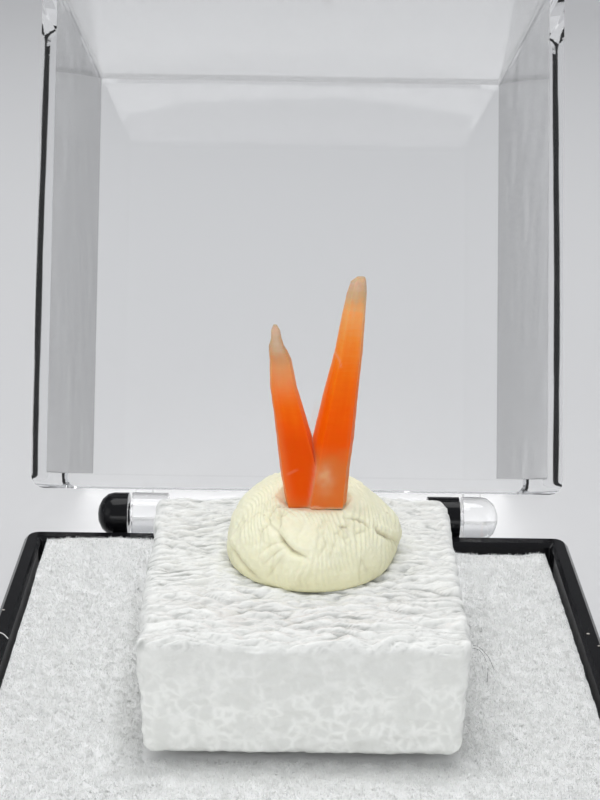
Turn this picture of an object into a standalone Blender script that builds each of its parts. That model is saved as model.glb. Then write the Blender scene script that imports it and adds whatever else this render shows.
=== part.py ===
"""A twin crystal of hematoid quartz, on mineral putty and a foam block, in a hinged thumbnail display box.

The box stands on its black tray with the clear lid open behind it: the lid leans back until the edge of
its top meets the surface that the tray stands on. The origin is the centre of the tray's underside, +Z is
up, the front of the box faces -Y, and the hinge runs along X behind the back wall.
"""
import math

import bmesh
import bpy
from mathutils import Matrix, Vector, noise

MM = 0.001

# Driving dimensions of the display box
BOX_WIDTH = 31.75 * MM
BOX_HEIGHT_CLOSED = 31.75 * MM
TRAY_HEIGHT = 8.0 * MM
TRAY_WALL = 1.0 * MM
TRAY_FLOOR = 1.2 * MM
LID_WALL = 0.9 * MM
LID_TOP = 1.0 * MM
RIM_GAP = 0.25 * MM
CORNER_RADIUS = 0.8 * MM
EDGE_CHAMFER = 0.2 * MM
DRAFT = 0.1 * MM

# The hinge: each pair has a black knuckle on the tray and a clear one on the lid, whose pin points to -X
HINGE_BEHIND_WALL = 1.5 * MM
HINGE_ABOVE_RIM = 0.4 * MM
KNUCKLE_RADIUS = 1.3 * MM
BORE_RADIUS = 0.7 * MM
BORE_DEPTH = 1.2 * MM
PIN_RADIUS = 0.45 * MM
PIN_LENGTH = 1.1 * MM
KNUCKLE_GAP = 0.2 * MM
KNUCKLE_DOME = 1.0 * MM
BLACK_KNUCKLE_LENGTH = 1.85 * MM
CLEAR_KNUCKLE_LENGTH = 2.15 * MM
LEFT_PAIR_START = -11.85 * MM
RIGHT_PAIR_START = 7.8 * MM
ARM_HEIGHT = 1.1 * MM
ARM_INSET = 0.15 * MM
ARM_IN_WALL = 0.5 * MM

# The finger lip on the lid's front edge, which hangs in front of the tray's wall when the box is closed
LIP_WIDTH = 9.0 * MM
LIP_THICKNESS = 0.5 * MM
LIP_GAP = 0.3 * MM
LIP_DROP = 0.9 * MM
LIP_RISE = 0.8 * MM

# The white pile pad in the tray and the foam block that stands on it
CLEARANCE = 0.3 * MM
PILE_HEIGHT = 8.0 * MM
PILE_DENT_HEIGHT = 7.3 * MM
PILE_CELLS = 16
BLOCK_WIDTH = 15.45 * MM
BLOCK_DEPTH = 15.7 * MM
BLOCK_CENTRE = Vector((0.24, 1.2, 0.0)) * MM
BLOCK_BOTTOM = 7.6 * MM
BLOCK_TOP = 13.5 * MM
BLOCK_ROUNDING = 0.45 * MM
BLOCK_CELLS = (13, 13, 5)
FRONT_NARROWING = 0.02
BASE_NARROWING = 0.035
BLOCK_UNEVENNESS = 0.12 * MM

# The putty, pressed flat underneath, with its widest level a little above the block
PUTTY_CENTRE = Vector((0.5, 2.4, 14.0)) * MM
PUTTY_RADIUS = 4.15 * MM
PUTTY_HEIGHT = 3.8 * MM
PUTTY_BOTTOM = 13.55 * MM
BOTTOM_TUCK = 0.06
RIGHT_BULGE = 0.02
FRONT_BULGE = 0.05
PUTTY_LUMPS = 0.16 * MM
PUTTY_SIDES = 84
PUTTY_RINGS = 24
FOAM_DENT = 0.22 * MM

# The lobe that is pushed out at the putty's right, and the folds pressed into its skin. Each fold has the
# points that it passes through in millimetres, roughly, then its depth and its width in millimetres
LOBE_CENTRE = Vector((4.7, 3.0, 14.8)) * MM
LOBE_SIZE = 1.25 * MM
LOBE_RISE = 0.5 * MM
PUTTY_FOLDS = (
    (((-1.31, -0.12, 16.3), (-0.93, -0.52, 16.1), (-0.64, -0.91, 15.8), (-0.25, -1.17, 15.5),
      (0.32, -1.38, 15.3)), 0.26, 0.20),
    (((-0.6, -1.05, 15.6), (-1.0, -1.05, 15.3), (-1.57, -1.02, 14.7)), 0.12, 0.20),
    (((-0.45, -1.15, 15.5), (-0.95, -1.35, 14.95), (-1.35, -1.5, 14.4)), 0.10, 0.20),
    (((-0.85, 0.60, 16.95), (-1.20, 0.30, 16.7), (-1.40, 0.05, 16.5), (-1.31, -0.12, 16.3)), 0.12, 0.20),
    (((-3.3, 0.95, 14.6), (-2.84, 0.13, 14.45), (-2.34, -0.53, 14.1), (-1.7, -1.0, 13.95)), 0.16, 0.20),
    (((2.07, 0.02, 16.55), (2.66, 0.28, 16.4), (3.05, 0.38, 16.15), (3.25, 0.33, 15.9)), 0.12, 0.20),
    (((3.45, 0.72, 15.75), (3.71, 0.72, 15.6), (4.19, 1.25, 15.1), (4.6, 2.2, 14.3)), 0.24, 0.20),
)

# The crystals: levels as (height, left edge, right edge) in millimetres, seen from the front
CRYSTAL_BASE = 17.0
RIGHT_LEVELS = (
    (CRYSTAL_BASE, 0.02, 2.25),
    (18.9, 0.33, 2.36),
    (20.5, 0.57, 2.52),
    (22.9, 1.06, 2.66),
    (24.7, 1.48, 2.80),
    (26.4, 1.76, 2.86),
    (27.6, 1.99, 2.90),
    (28.15, 2.15, 2.86),
    (28.35, 2.42, 2.80),
)
LEFT_LEVELS = (
    (CRYSTAL_BASE, -0.68, 1.45),
    (18.7, -0.97, 1.05),
    (20.1, -1.13, 0.62),
    (21.5, -1.29, 0.20),
    (22.9, -1.49, -0.22),
    (24.3, -1.53, -0.52),
    (24.7, -1.57, -0.70),
    (24.95, -1.56, -0.87),
    (25.3, -1.46, -0.97),
    (25.7, -1.47, -1.06),
    (25.95, -1.37, -1.20),
)
RIGHT_MIDDLE = 0.98 * MM
LEFT_MIDDLE = 1.12 * MM
DEPTH_OF_WIDTH = 0.72
FRONT_SHARE = (0.52, 0.80)
BACK_SHARE = (0.66, 0.45)
BASE_BREAK = (0.02, -0.05, 0.04, 0.0, 0.06, -0.03)
POCKET_GAP = 0.25 * MM

HALF = BOX_WIDTH / 2
HINGE_Y = HALF + HINGE_BEHIND_WALL
HINGE_Z = TRAY_HEIGHT + HINGE_ABOVE_RIM
LID_BOTTOM = TRAY_HEIGHT + RIM_GAP


def lid_rest_angle() -> float:
    """Returns how far the lid is open when the back edge of its top meets the surface below the tray."""
    reach = BOX_HEIGHT_CLOSED - EDGE_CHAMFER - HINGE_Z
    radius = math.hypot(HINGE_BEHIND_WALL, reach)
    lead = math.atan2(HINGE_BEHIND_WALL, reach)
    return lead + math.acos(-HINGE_Z / radius)


def clear_scene() -> None:
    """Removes every object of the scene that the script starts in."""
    for old in list(bpy.data.objects):
        bpy.data.objects.remove(old, do_unlink=True)


def plain_material(name, colour, roughness, transmission=0.0, alpha=1.0):
    """Returns a Principled material of one colour."""
    material = bpy.data.materials.new(name)
    material.use_nodes = True
    shader = material.node_tree.nodes["Principled BSDF"]
    shader.inputs["Base Color"].default_value = (*colour, 1.0)
    shader.inputs["Roughness"].default_value = roughness
    shader.inputs["Metallic"].default_value = 0.0
    shader.inputs["Transmission Weight"].default_value = transmission
    shader.inputs["Alpha"].default_value = alpha
    material.diffuse_color = (*colour, alpha)
    return material


def finish_object(name, bm, material=None, smooth_angle=None):
    """Turns a bmesh into a linked object with its faces pointing out."""
    bmesh.ops.recalc_face_normals(bm, faces=bm.faces)
    mesh = bpy.data.meshes.new(name)
    bm.to_mesh(mesh)
    bm.free()
    if smooth_angle is not None:
        mesh.shade_smooth()
        mesh.set_sharp_from_angle(angle=math.radians(smooth_angle))
    if material is not None:
        mesh.materials.append(material)
    made = bpy.data.objects.new(name, mesh)
    bpy.context.collection.objects.link(made)
    return made


def join_in(target, tool, operation="UNION"):
    """Adds a Boolean on target that joins or cuts the hidden tool object."""
    tool.hide_render = True
    tool.display_type = "WIRE"
    boolean = target.modifiers.new(f"{operation.lower()} {tool.name}", "BOOLEAN")
    boolean.operation = operation
    boolean.solver = "EXACT"
    boolean.object = tool


def rounded_square(half, radius, steps=4):
    """Returns the points of a square with round corners, counterclockwise, in the XY plane."""
    points = []
    for corner in range(4):
        turn = Matrix.Rotation(corner * math.pi / 2, 2)
        for step in range(steps + 1):
            angle = step / steps * math.pi / 2
            around = Vector((math.cos(angle), math.sin(angle)))
            points.append(turn @ (Vector((half - radius, half - radius)) + radius * around))
    return points


def loft(bm, loops):
    """Skins a closed body over loops of equally many points, with a flat face on its first and last loop."""
    rings = [[bm.verts.new(point) for point in loop] for loop in loops]
    for lower, upper in zip(rings, rings[1:]):
        count = len(lower)
        for index in range(count):
            after = (index + 1) % count
            bm.faces.new((lower[index], lower[after], upper[after], upper[index]))
    bm.faces.new(list(reversed(rings[0])))
    bm.faces.new(rings[-1])


def square_loops(levels):
    """Returns one rounded square for each (half width, height) of levels."""
    loops = []
    for half, height in levels:
        radius = max(CORNER_RADIUS - (HALF - half), 0.15 * MM)
        loops.append([Vector((point.x, point.y, height)) for point in rounded_square(half, radius)])
    return loops


def turned_along_x(name, profile, centre, sides=20):
    """Makes a solid turned about X from a profile of (place along X, radius), closed by its end points."""
    bm = bmesh.new()
    first = bm.verts.new(centre + Vector((profile[0][0], 0.0, 0.0)))
    last = bm.verts.new(centre + Vector((profile[-1][0], 0.0, 0.0)))
    rings = []
    for along, radius in profile[1:-1]:
        ring = []
        for side in range(sides):
            angle = side / sides * math.tau
            spoke = Vector((along, radius * math.cos(angle), radius * math.sin(angle)))
            ring.append(bm.verts.new(centre + spoke))
        rings.append(ring)
    for side in range(sides):
        after = (side + 1) % sides
        bm.faces.new((first, rings[0][after], rings[0][side]))
        bm.faces.new((last, rings[-1][side], rings[-1][after]))
        for lower, upper in zip(rings, rings[1:]):
            bm.faces.new((lower[side], lower[after], upper[after], upper[side]))
    return finish_object(name, bm)


def dome_profile(tip, base, radius, steps=4):
    """Returns the profile points of a knuckle's rounded end, from its tip to its full radius."""
    points = []
    for step in range(steps + 1):
        angle = step / steps * math.pi / 2
        points.append((tip + (base - tip) * (1 - math.cos(angle)), radius * math.sin(angle)))
    return points


def box_solid(name, low, high):
    """Makes a plain box between two corners, for an arm or a lip that is joined to a larger solid."""
    bm = bmesh.new()
    bmesh.ops.create_cube(bm, size=1.0)
    for vertex in bm.verts:
        share = vertex.co + Vector((0.5, 0.5, 0.5))
        vertex.co = Vector(low[axis] + (high[axis] - low[axis]) * share[axis] for axis in range(3))
    return finish_object(name, bm)


def make_tray(material):
    """Makes the black tray with the two black knuckles on its back wall."""
    inner = HALF - TRAY_WALL
    levels = (
        (HALF - EDGE_CHAMFER, 0.0),
        (HALF, EDGE_CHAMFER),
        (HALF, TRAY_HEIGHT - EDGE_CHAMFER),
        (HALF - EDGE_CHAMFER, TRAY_HEIGHT),
        (inner + EDGE_CHAMFER, TRAY_HEIGHT),
        (inner, TRAY_HEIGHT - EDGE_CHAMFER),
        (inner - DRAFT, TRAY_FLOOR),
    )
    bm = bmesh.new()
    loft(bm, square_loops(levels))
    tray = finish_object("tray", bm, material, smooth_angle=35)
    for side, start in (("left", LEFT_PAIR_START), ("right", RIGHT_PAIR_START)):
        length = BLACK_KNUCKLE_LENGTH
        if side == "left":
            closed_end = dome_profile(0.0, KNUCKLE_DOME, KNUCKLE_RADIUS)
        else:
            closed_end = [(0.0, 0.0), (0.0, KNUCKLE_RADIUS)]
        bore = [(length, KNUCKLE_RADIUS), (length, BORE_RADIUS), (length - BORE_DEPTH, BORE_RADIUS),
                (length - BORE_DEPTH, 0.0)]
        place = Vector((start, HINGE_Y, HINGE_Z))
        knuckle = turned_along_x(f"black_knuckle_{side}", closed_end + bore, place)
        arm_low = (start + KNUCKLE_DOME, HALF - ARM_IN_WALL, HINGE_Z - KNUCKLE_RADIUS + ARM_INSET)
        arm_back = HINGE_Y - BORE_RADIUS - ARM_INSET
        arm_high = (start + length - ARM_INSET, arm_back, TRAY_HEIGHT - EDGE_CHAMFER)
        arm = box_solid(f"black_arm_{side}", arm_low, arm_high)
        join_in(arm, knuckle)
        join_in(tray, arm)
    return tray


def make_lid(material):
    """Makes the clear lid about the hinge's axis: its shell, two knuckles with pins, and the lip."""
    inner = HALF - LID_WALL
    levels = (
        (inner - DRAFT, BOX_HEIGHT_CLOSED - LID_TOP),
        (inner, LID_BOTTOM),
        (HALF, LID_BOTTOM),
        (HALF, BOX_HEIGHT_CLOSED - EDGE_CHAMFER),
        (HALF - EDGE_CHAMFER, BOX_HEIGHT_CLOSED),
    )
    bm = bmesh.new()
    loft(bm, square_loops(levels))
    lid = finish_object("lid", bm, material, smooth_angle=35)
    tools = []
    for side, pair_start in (("left", LEFT_PAIR_START), ("right", RIGHT_PAIR_START)):
        start = pair_start + BLACK_KNUCKLE_LENGTH + KNUCKLE_GAP
        length = CLEAR_KNUCKLE_LENGTH
        pin = [(-PIN_LENGTH, 0.0), (-PIN_LENGTH, PIN_RADIUS), (0.0, PIN_RADIUS), (0.0, KNUCKLE_RADIUS)]
        if side == "right":
            dome = dome_profile(0.0, KNUCKLE_DOME, KNUCKLE_RADIUS)
            end = [(length - along, radius) for along, radius in reversed(dome)]
        else:
            end = [(length, KNUCKLE_RADIUS), (length, 0.0)]
        knuckle = turned_along_x(f"clear_knuckle_{side}", pin + end, Vector((start, HINGE_Y, HINGE_Z)))
        arm_low = (start + ARM_INSET, HALF - ARM_IN_WALL, LID_BOTTOM + EDGE_CHAMFER)
        arm_high = (start + length - KNUCKLE_DOME, HINGE_Y - ARM_INSET, HINGE_Z + ARM_HEIGHT)
        arm = box_solid(f"clear_arm_{side}", arm_low, arm_high)
        join_in(arm, knuckle)
        tools.append(arm)
        tools.append(knuckle)
        join_in(lid, arm)
    outer = -HALF - LIP_GAP - LIP_THICKNESS
    shelf = box_solid("lip_shelf", (-LIP_WIDTH / 2, outer, LID_BOTTOM + EDGE_CHAMFER),
                      (LIP_WIDTH / 2, -HALF + ARM_IN_WALL, LID_BOTTOM + LIP_RISE))
    hook = box_solid("lip_hook", (-LIP_WIDTH / 2 + ARM_INSET, outer + ARM_INSET / 2, TRAY_HEIGHT - LIP_DROP),
                     (LIP_WIDTH / 2 - ARM_INSET, -HALF - LIP_GAP, LID_BOTTOM + LIP_RISE - ARM_INSET))
    tools.append(shelf)
    tools.append(hook)
    join_in(shelf, hook)
    join_in(lid, shelf)
    axis = bpy.data.objects.new("lid_hinge_axis", None)
    bpy.context.collection.objects.link(axis)
    axis.location = (0.0, HINGE_Y, HINGE_Z)
    for piece in [lid] + tools:
        piece.data.transform(Matrix.Translation((0.0, -HINGE_Y, -HINGE_Z)))
        piece.parent = axis
    axis.rotation_euler.x = -lid_rest_angle()
    return lid


def pile_height(x, y):
    """Returns the height of the pile's tips: full at the back left, thin at the back right, dented below."""
    back_left = math.exp(-((x + 11.0 * MM) ** 2 + (y - 12.5 * MM) ** 2) / (5.5 * MM) ** 2)
    back_right = math.exp(-((x - 12.0 * MM) ** 2 + (y - 14.5 * MM) ** 2) / (4.5 * MM) ** 2)
    lumps = noise.noise(Vector((x, y, 0.0)) / (2.2 * MM) + Vector((5.3, 1.1, 0.7)))
    full = PILE_HEIGHT + (0.42 * back_left - 0.38 * back_right + 0.14 * lumps) * MM
    outside_x = abs(x - BLOCK_CENTRE.x) - BLOCK_WIDTH / 2
    outside_y = abs(y - BLOCK_CENTRE.y) - BLOCK_DEPTH / 2
    away = (max(outside_x, outside_y) - CLEARANCE) / (1.2 * MM)
    share = min(max(away, 0.0), 1.0)
    return PILE_DENT_HEIGHT + (full - PILE_DENT_HEIGHT) * share


def make_liner(material):
    """Makes the pile pad: a slab that fills the tray, with an uneven top and plain sides."""
    half = HALF - TRAY_WALL - DRAFT - CLEARANCE
    bottom = TRAY_FLOOR + CLEARANCE
    bm = bmesh.new()
    grid = []
    for row in range(PILE_CELLS + 1):
        y = -half + 2 * half * row / PILE_CELLS
        line = []
        for column in range(PILE_CELLS + 1):
            x = -half + 2 * half * column / PILE_CELLS
            line.append(bm.verts.new((x, y, pile_height(x, y))))
        grid.append(line)
    for line, above in zip(grid, grid[1:]):
        for column in range(PILE_CELLS):
            bm.faces.new((line[column], line[column + 1], above[column + 1], above[column]))
    corners = [bm.verts.new((sign_x * half, sign_y * half, bottom))
               for sign_x, sign_y in ((-1, -1), (1, -1), (1, 1), (-1, 1))]
    edges = (
        grid[0],
        [line[-1] for line in grid],
        list(reversed(grid[-1])),
        [line[0] for line in reversed(grid)],
    )
    for index, edge in enumerate(edges):
        start = corners[index]
        end = corners[(index + 1) % 4]
        bm.faces.new([start, end] + list(reversed(edge)))
    bm.faces.new(list(reversed(corners)))
    return finish_object("liner_pad", bm, material, smooth_angle=50)


def foam_point(cube_point):
    """Places a point of a cube (-1 to 1) on the cut foam block: soft edges, a taper and an uneven top."""
    middle = Vector((BLOCK_CENTRE.x, BLOCK_CENTRE.y, (BLOCK_TOP + BLOCK_BOTTOM) / 2))
    half = Vector((BLOCK_WIDTH / 2, BLOCK_DEPTH / 2, (BLOCK_TOP - BLOCK_BOTTOM) / 2))
    flat = Vector(cube_point[axis] * half[axis] for axis in range(3))
    core = Vector(min(max(flat[axis], -half[axis] + BLOCK_ROUNDING), half[axis] - BLOCK_ROUNDING)
                  for axis in range(3))
    offset = flat - core
    placed = core + offset.normalized() * BLOCK_ROUNDING if offset.length > BLOCK_ROUNDING else flat
    narrowing = 1.0 - FRONT_NARROWING * (1.0 - cube_point.y) / 2 - BASE_NARROWING * (1.0 - cube_point.z) / 2
    placed.x *= narrowing
    placed.y *= 1.0 - BASE_NARROWING / 2 * (1.0 - cube_point.z) / 2
    wave = noise.noise(Vector((placed.x * 0.5, placed.y * 1.6, placed.z)) / (1.5 * MM))
    lumps = noise.noise(placed / (3.1 * MM) + Vector((9.2, 4.7, 2.3)))
    placed.z += BLOCK_UNEVENNESS * (wave + lumps) * max(cube_point.z, 0.0)
    under = (middle + placed - PUTTY_CENTRE).to_2d().length / (0.9 * PUTTY_RADIUS)
    placed.z -= FOAM_DENT * max(cube_point.z, 0.0) * min(max(4.0 * (1.0 - under) + 0.5, 0.0), 1.0)
    outward = Vector((cube_point.x, cube_point.y, 0.0))
    edge = max(abs(cube_point.x), abs(cube_point.y))
    if edge > 0.99:
        ragged = noise.noise(placed / (1.9 * MM) + Vector((1.7, 8.1, 6.4)))
        placed += outward.normalized() * BLOCK_UNEVENNESS * ragged
    return middle + placed


def make_foam_block(material):
    """Makes the cut foam block from a cube of cells whose points foam_point places."""
    across, along, up = BLOCK_CELLS
    bm = bmesh.new()
    shared = {}

    def vertex(i, j, k):
        """Returns the one vertex at a lattice corner of the cube's surface."""
        if (i, j, k) not in shared:
            cube_point = Vector((2 * i / across - 1, 2 * j / along - 1, 2 * k / up - 1))
            shared[(i, j, k)] = bm.verts.new(foam_point(cube_point))
        return shared[(i, j, k)]

    def cell(*corners):
        """Adds the face between four lattice corners."""
        bm.faces.new([vertex(*corner) for corner in corners])

    for i in range(across):
        for j in range(along):
            for k in (0, up):
                cell((i, j, k), (i + 1, j, k), (i + 1, j + 1, k), (i, j + 1, k))
    for k in range(up):
        for i in range(across):
            for j in (0, along):
                cell((i, j, k), (i + 1, j, k), (i + 1, j, k + 1), (i, j, k + 1))
        for j in range(along):
            for i in (0, across):
                cell((i, j, k), (i, j + 1, k), (i, j + 1, k + 1), (i, j, k + 1))
    return finish_object("foam_block", bm, material, smooth_angle=60)


def distance_to_path(point, path):
    """Returns how far a point is from a path of straight runs."""
    nearest = math.inf
    for start, end in zip(path, path[1:]):
        run = end - start
        share = min(max((point - start).dot(run) / run.length_squared, 0.0), 1.0)
        nearest = min(nearest, (point - start - run * share).length)
    return nearest


def putty_radius(outward):
    """Returns the radius of the putty's widest level in a direction."""
    return PUTTY_RADIUS * (1.0 + RIGHT_BULGE * outward.x + FRONT_BULGE * max(-outward.y, 0.0))


def on_putty(place):
    """Moves a place given in millimetres onto the plain dome, straight towards or away from its middle."""
    offset = Vector(place) * MM - PUTTY_CENTRE
    flat = Vector((offset.x, offset.y, 0.0))
    reach = math.hypot(flat.length / putty_radius(flat.normalized()), offset.z / PUTTY_HEIGHT)
    return PUTTY_CENTRE + offset / reach


def putty_point(azimuth, elevation, folds):
    """Returns a point of the putty's skin.

    The azimuth is about its middle from +X, and the elevation is up from its widest level. Each fold has its
    points on the plain dome, its depth and its width.
    """
    outward = Vector((math.cos(azimuth), math.sin(azimuth), 0.0))
    radius = putty_radius(outward)
    if elevation >= 0.0:
        spread = math.cos(elevation)
        height = PUTTY_HEIGHT * math.sin(elevation)
    else:
        spread = 1.0 - BOTTOM_TUCK * (1.0 - math.cos(elevation))
        height = (PUTTY_CENTRE.z - PUTTY_BOTTOM) * math.sin(elevation)
    point = PUTTY_CENTRE + outward * radius * spread + Vector((0.0, 0.0, height))
    direction = Vector((outward.x * spread, outward.y * spread, math.sin(elevation))).normalized()
    lift = PUTTY_LUMPS * noise.noise(point / (2.6 * MM) + Vector((3.9, 7.4, 1.8)))
    lift += LOBE_RISE * math.exp(-((point - LOBE_CENTRE).length / LOBE_SIZE) ** 2)
    for path, depth, width in folds:
        lift -= depth * math.exp(-(distance_to_path(point, path) / width) ** 2)
    if elevation < 0.0:
        lift *= 1.0 + math.sin(elevation)
        direction = outward
    return point + direction * lift


def make_putty(material, pocket):
    """Makes the dome of putty from rings of points, and presses the crystals' pocket into it."""
    quarter = math.pi / 2
    elevations = [-quarter, -quarter / 2] + [ring / PUTTY_RINGS * quarter for ring in range(PUTTY_RINGS)]
    azimuths = [side / PUTTY_SIDES * math.tau for side in range(PUTTY_SIDES)]
    folds = [([on_putty(place) for place in path], depth * MM, width * MM)
             for path, depth, width in PUTTY_FOLDS]
    loops = []
    for elevation in elevations:
        loops.append([putty_point(azimuth, elevation, folds) for azimuth in azimuths])
    bm = bmesh.new()
    loft(bm, loops)
    putty = finish_object("mineral_putty", bm, material, smooth_angle=60)
    join_in(putty, pocket, "DIFFERENCE")
    return putty


def crystal_solid(name, levels, middle, allowance=0.0, material=None):
    """Makes one tapered six-sided crystal through its levels, larger all round by an allowance."""
    loops = []
    for number, (height, left, right) in enumerate(levels):
        centre = (left + right) / 2 * MM
        half_width = (right - left) / 2 * MM + allowance
        half_depth = (right - left) / 2 * DEPTH_OF_WIDTH * MM + allowance
        section = (
            (-half_width, 0.0),
            (-half_width * FRONT_SHARE[0], -half_depth),
            (half_width * FRONT_SHARE[1], -half_depth),
            (half_width, 0.0),
            (half_width * BACK_SHARE[1], half_depth),
            (-half_width * BACK_SHARE[0], half_depth),
        )
        loop = []
        for corner, (x, y) in enumerate(section):
            z = height * MM
            if number == 0:
                z += BASE_BREAK[corner] * MM - allowance
            loop.append(Vector((centre + x, middle + y, z)))
        loops.append(loop)
    bm = bmesh.new()
    loft(bm, loops)
    return finish_object(name, bm, material)


def make_crystals(material):
    """Makes the two crystals, grown together at the base, as one solid."""
    crystals = crystal_solid("quartz_crystals", RIGHT_LEVELS, RIGHT_MIDDLE, material=material)
    smaller = crystal_solid("left_crystal", LEFT_LEVELS, LEFT_MIDDLE)
    join_in(crystals, smaller)
    return crystals


def make_pocket():
    """Makes the hidden cutter that leaves the crystals' pocket in the putty, with a gap all round."""
    pocket = crystal_solid("pocket_right", RIGHT_LEVELS, RIGHT_MIDDLE, POCKET_GAP)
    smaller = crystal_solid("pocket_left", LEFT_LEVELS, LEFT_MIDDLE, POCKET_GAP)
    join_in(pocket, smaller)
    return pocket


def main() -> None:
    """Builds the pieces in the order in which they carry each other."""
    clear_scene()
    make_tray(plain_material("black_styrene", (0.012, 0.012, 0.014), 0.18))
    make_lid(plain_material("clear_styrene", (0.93, 0.94, 0.95), 0.05, transmission=1.0, alpha=0.35))
    make_liner(plain_material("white_pile", (0.86, 0.87, 0.88), 0.95))
    make_foam_block(plain_material("white_foam", (0.88, 0.89, 0.90), 0.7))
    make_putty(plain_material("cream_putty", (0.80, 0.77, 0.65), 0.75), make_pocket())
    make_crystals(plain_material("orange_quartz", (0.85, 0.28, 0.05), 0.25))


main()
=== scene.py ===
"""The looks of a twin hematoid quartz crystal, on mineral putty and cut foam, in its open display box.

Every size below is in metres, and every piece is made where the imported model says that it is. The box
stands on its black tray, its front faces -Y, and the clear lid leans back behind it on its hinge.
"""

import logging
import math
from dataclasses import dataclass, field
from enum import Enum
from typing import Callable

import bmesh
import bpy
from mathutils import Matrix, Vector, noise
from mathutils.bvhtree import BVHTree


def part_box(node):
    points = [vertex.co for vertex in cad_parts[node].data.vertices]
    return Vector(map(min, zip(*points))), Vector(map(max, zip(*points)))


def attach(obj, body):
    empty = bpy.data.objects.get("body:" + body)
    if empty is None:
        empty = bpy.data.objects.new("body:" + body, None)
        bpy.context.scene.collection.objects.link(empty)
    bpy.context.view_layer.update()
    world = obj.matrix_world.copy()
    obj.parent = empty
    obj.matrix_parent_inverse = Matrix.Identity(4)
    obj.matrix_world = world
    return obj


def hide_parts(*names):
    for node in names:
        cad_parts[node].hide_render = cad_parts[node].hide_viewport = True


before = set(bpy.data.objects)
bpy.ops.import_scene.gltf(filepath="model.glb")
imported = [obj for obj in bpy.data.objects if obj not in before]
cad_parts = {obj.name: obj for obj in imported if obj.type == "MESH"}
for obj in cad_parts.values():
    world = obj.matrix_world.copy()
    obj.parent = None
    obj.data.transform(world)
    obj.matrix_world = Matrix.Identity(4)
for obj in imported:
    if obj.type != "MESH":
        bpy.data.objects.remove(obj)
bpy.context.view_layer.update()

MM = 0.001
LOG = logging.getLogger("specimen")
FOAM_CELL = 0.62 * MM
SHARP_ANGLE = math.radians(32)
ROUNDING_STEPS = 2
MERGE_DISTANCE = 0.002 * MM
FLAT_ANGLE = math.radians(0.6)

Triple = tuple[float, float, float]
Socket = bpy.types.NodeSocket


class Body(Enum):
    """The two bodies that the lid's hinge joins."""

    BOX = "box_and_specimen"
    LID = "box_lid"


class Slot(Enum):
    """The record's material slots."""

    BLACK_PLASTIC = "black_plastic"
    CLEAR_PLASTIC = "clear_plastic"
    WHITE_PILE = "white_pile"
    WHITE_FOAM = "white_foam"
    CREAM_PUTTY = "cream_putty"
    ORANGE_QUARTZ = "orange_quartz"


def clamped(value: float, low: float = 0.0, high: float = 1.0) -> float:
    """Returns a value held between two limits."""
    return min(max(value, low), high)


def smooth_step(start: float, end: float, value: float) -> float:
    """Returns a share that rises smoothly from 0 at start to 1 at end."""
    share = clamped((value - start) / (end - start))
    return share * share * (3.0 - 2.0 * share)


def bell(distance: float, width: float) -> float:
    """Returns 1 at no distance, falling smoothly to nothing past about two widths."""
    return math.exp(-(distance / width) ** 2)


def soft_noise(place: Vector, size: float, shift: Triple = (0.0, 0.0, 0.0)) -> float:
    """Returns a smooth noise from about -1 to 1 whose lumps have a size in millimetres."""
    return noise.noise(place / (size * MM) + Vector(shift))


def placed_at(x: float, y: float, z: float) -> Vector:
    """Returns a dataclass field that holds a place, given in millimetres."""
    return field(default_factory=lambda: Vector((x, y, z)) * MM)


def grid(zone: tuple[float, float, float, float], columns: int, rows: int,
         height_at: Callable[[float, float], float]) -> tuple[list, list]:
    """Returns the points and the square faces of an uneven sheet.

    Args:
        zone: The sheet's lowest x and y and highest x and y.
        columns: How many cells it has along x.
        rows: How many cells it has along y.
        height_at: A function from x and y to the sheet's height.

    Returns:
        The points, row by row, and the faces, as numbers of their points.
    """
    low_x, low_y, high_x, high_y = zone
    points, faces = [], []
    for row in range(rows + 1):
        y = low_y + (high_y - low_y) * row / rows
        for column in range(columns + 1):
            x = low_x + (high_x - low_x) * column / columns
            points.append((x, y, height_at(x, y)))
    across = columns + 1
    for row in range(rows):
        for column in range(columns):
            corner = row * across + column
            faces.append((corner, corner + 1, corner + across + 1, corner + across))
    return points, faces


def ring_faces(rings: int, count: int) -> list:
    """Returns the square faces between rings of points that lie one above the other.

    Args:
        rings: How many rings there are.
        count: How many points each ring has.

    Returns:
        The faces, as numbers of their points.
    """
    faces = []
    for ring in range(rings - 1):
        first, second = ring * count, (ring + 1) * count
        for step in range(count):
            after = (step + 1) % count
            faces.append((first + step, first + after, second + after, second + step))
    return faces


class Wire:
    """A number socket of a shader tree, which takes part in Python expressions."""

    def __init__(self, maker: "Finish", socket: Socket) -> None:
        """Wraps a socket.

        Args:
            maker: The finish whose tree the socket is in.
            socket: An output socket that carries a number.
        """
        self.maker = maker
        self.socket = socket

    def _math(self, operation: str, first: object, second: object) -> "Wire":
        """Adds a Math node.

        Args:
            operation: The node's operation.
            first: A wire or a number.
            second: A wire or a number.

        Returns:
            The wire of the node's result.
        """
        result = self.maker.node("ShaderNodeMath", {"operation": operation}, {0: first, 1: second})
        return Wire(self.maker, result)

    def __add__(self, other: object) -> "Wire":
        """Returns the sum."""
        return self._math("ADD", self, other)

    __radd__ = __add__

    def __sub__(self, other: object) -> "Wire":
        """Returns the difference."""
        return self._math("SUBTRACT", self, other)

    def __rsub__(self, other: object) -> "Wire":
        """Returns the difference, taken from a number."""
        return self._math("SUBTRACT", other, self)

    def __mul__(self, other: object) -> "Wire":
        """Returns the product."""
        return self._math("MULTIPLY", self, other)

    __rmul__ = __mul__

    def above(self, low: float, high: float) -> "Wire":
        """Returns a smooth share, 0 below low and 1 above high."""
        settings = {"interpolation_type": "SMOOTHSTEP"}
        return Wire(self.maker, self.maker.node("ShaderNodeMapRange", settings, {0: self, 1: low, 2: high}))


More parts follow.
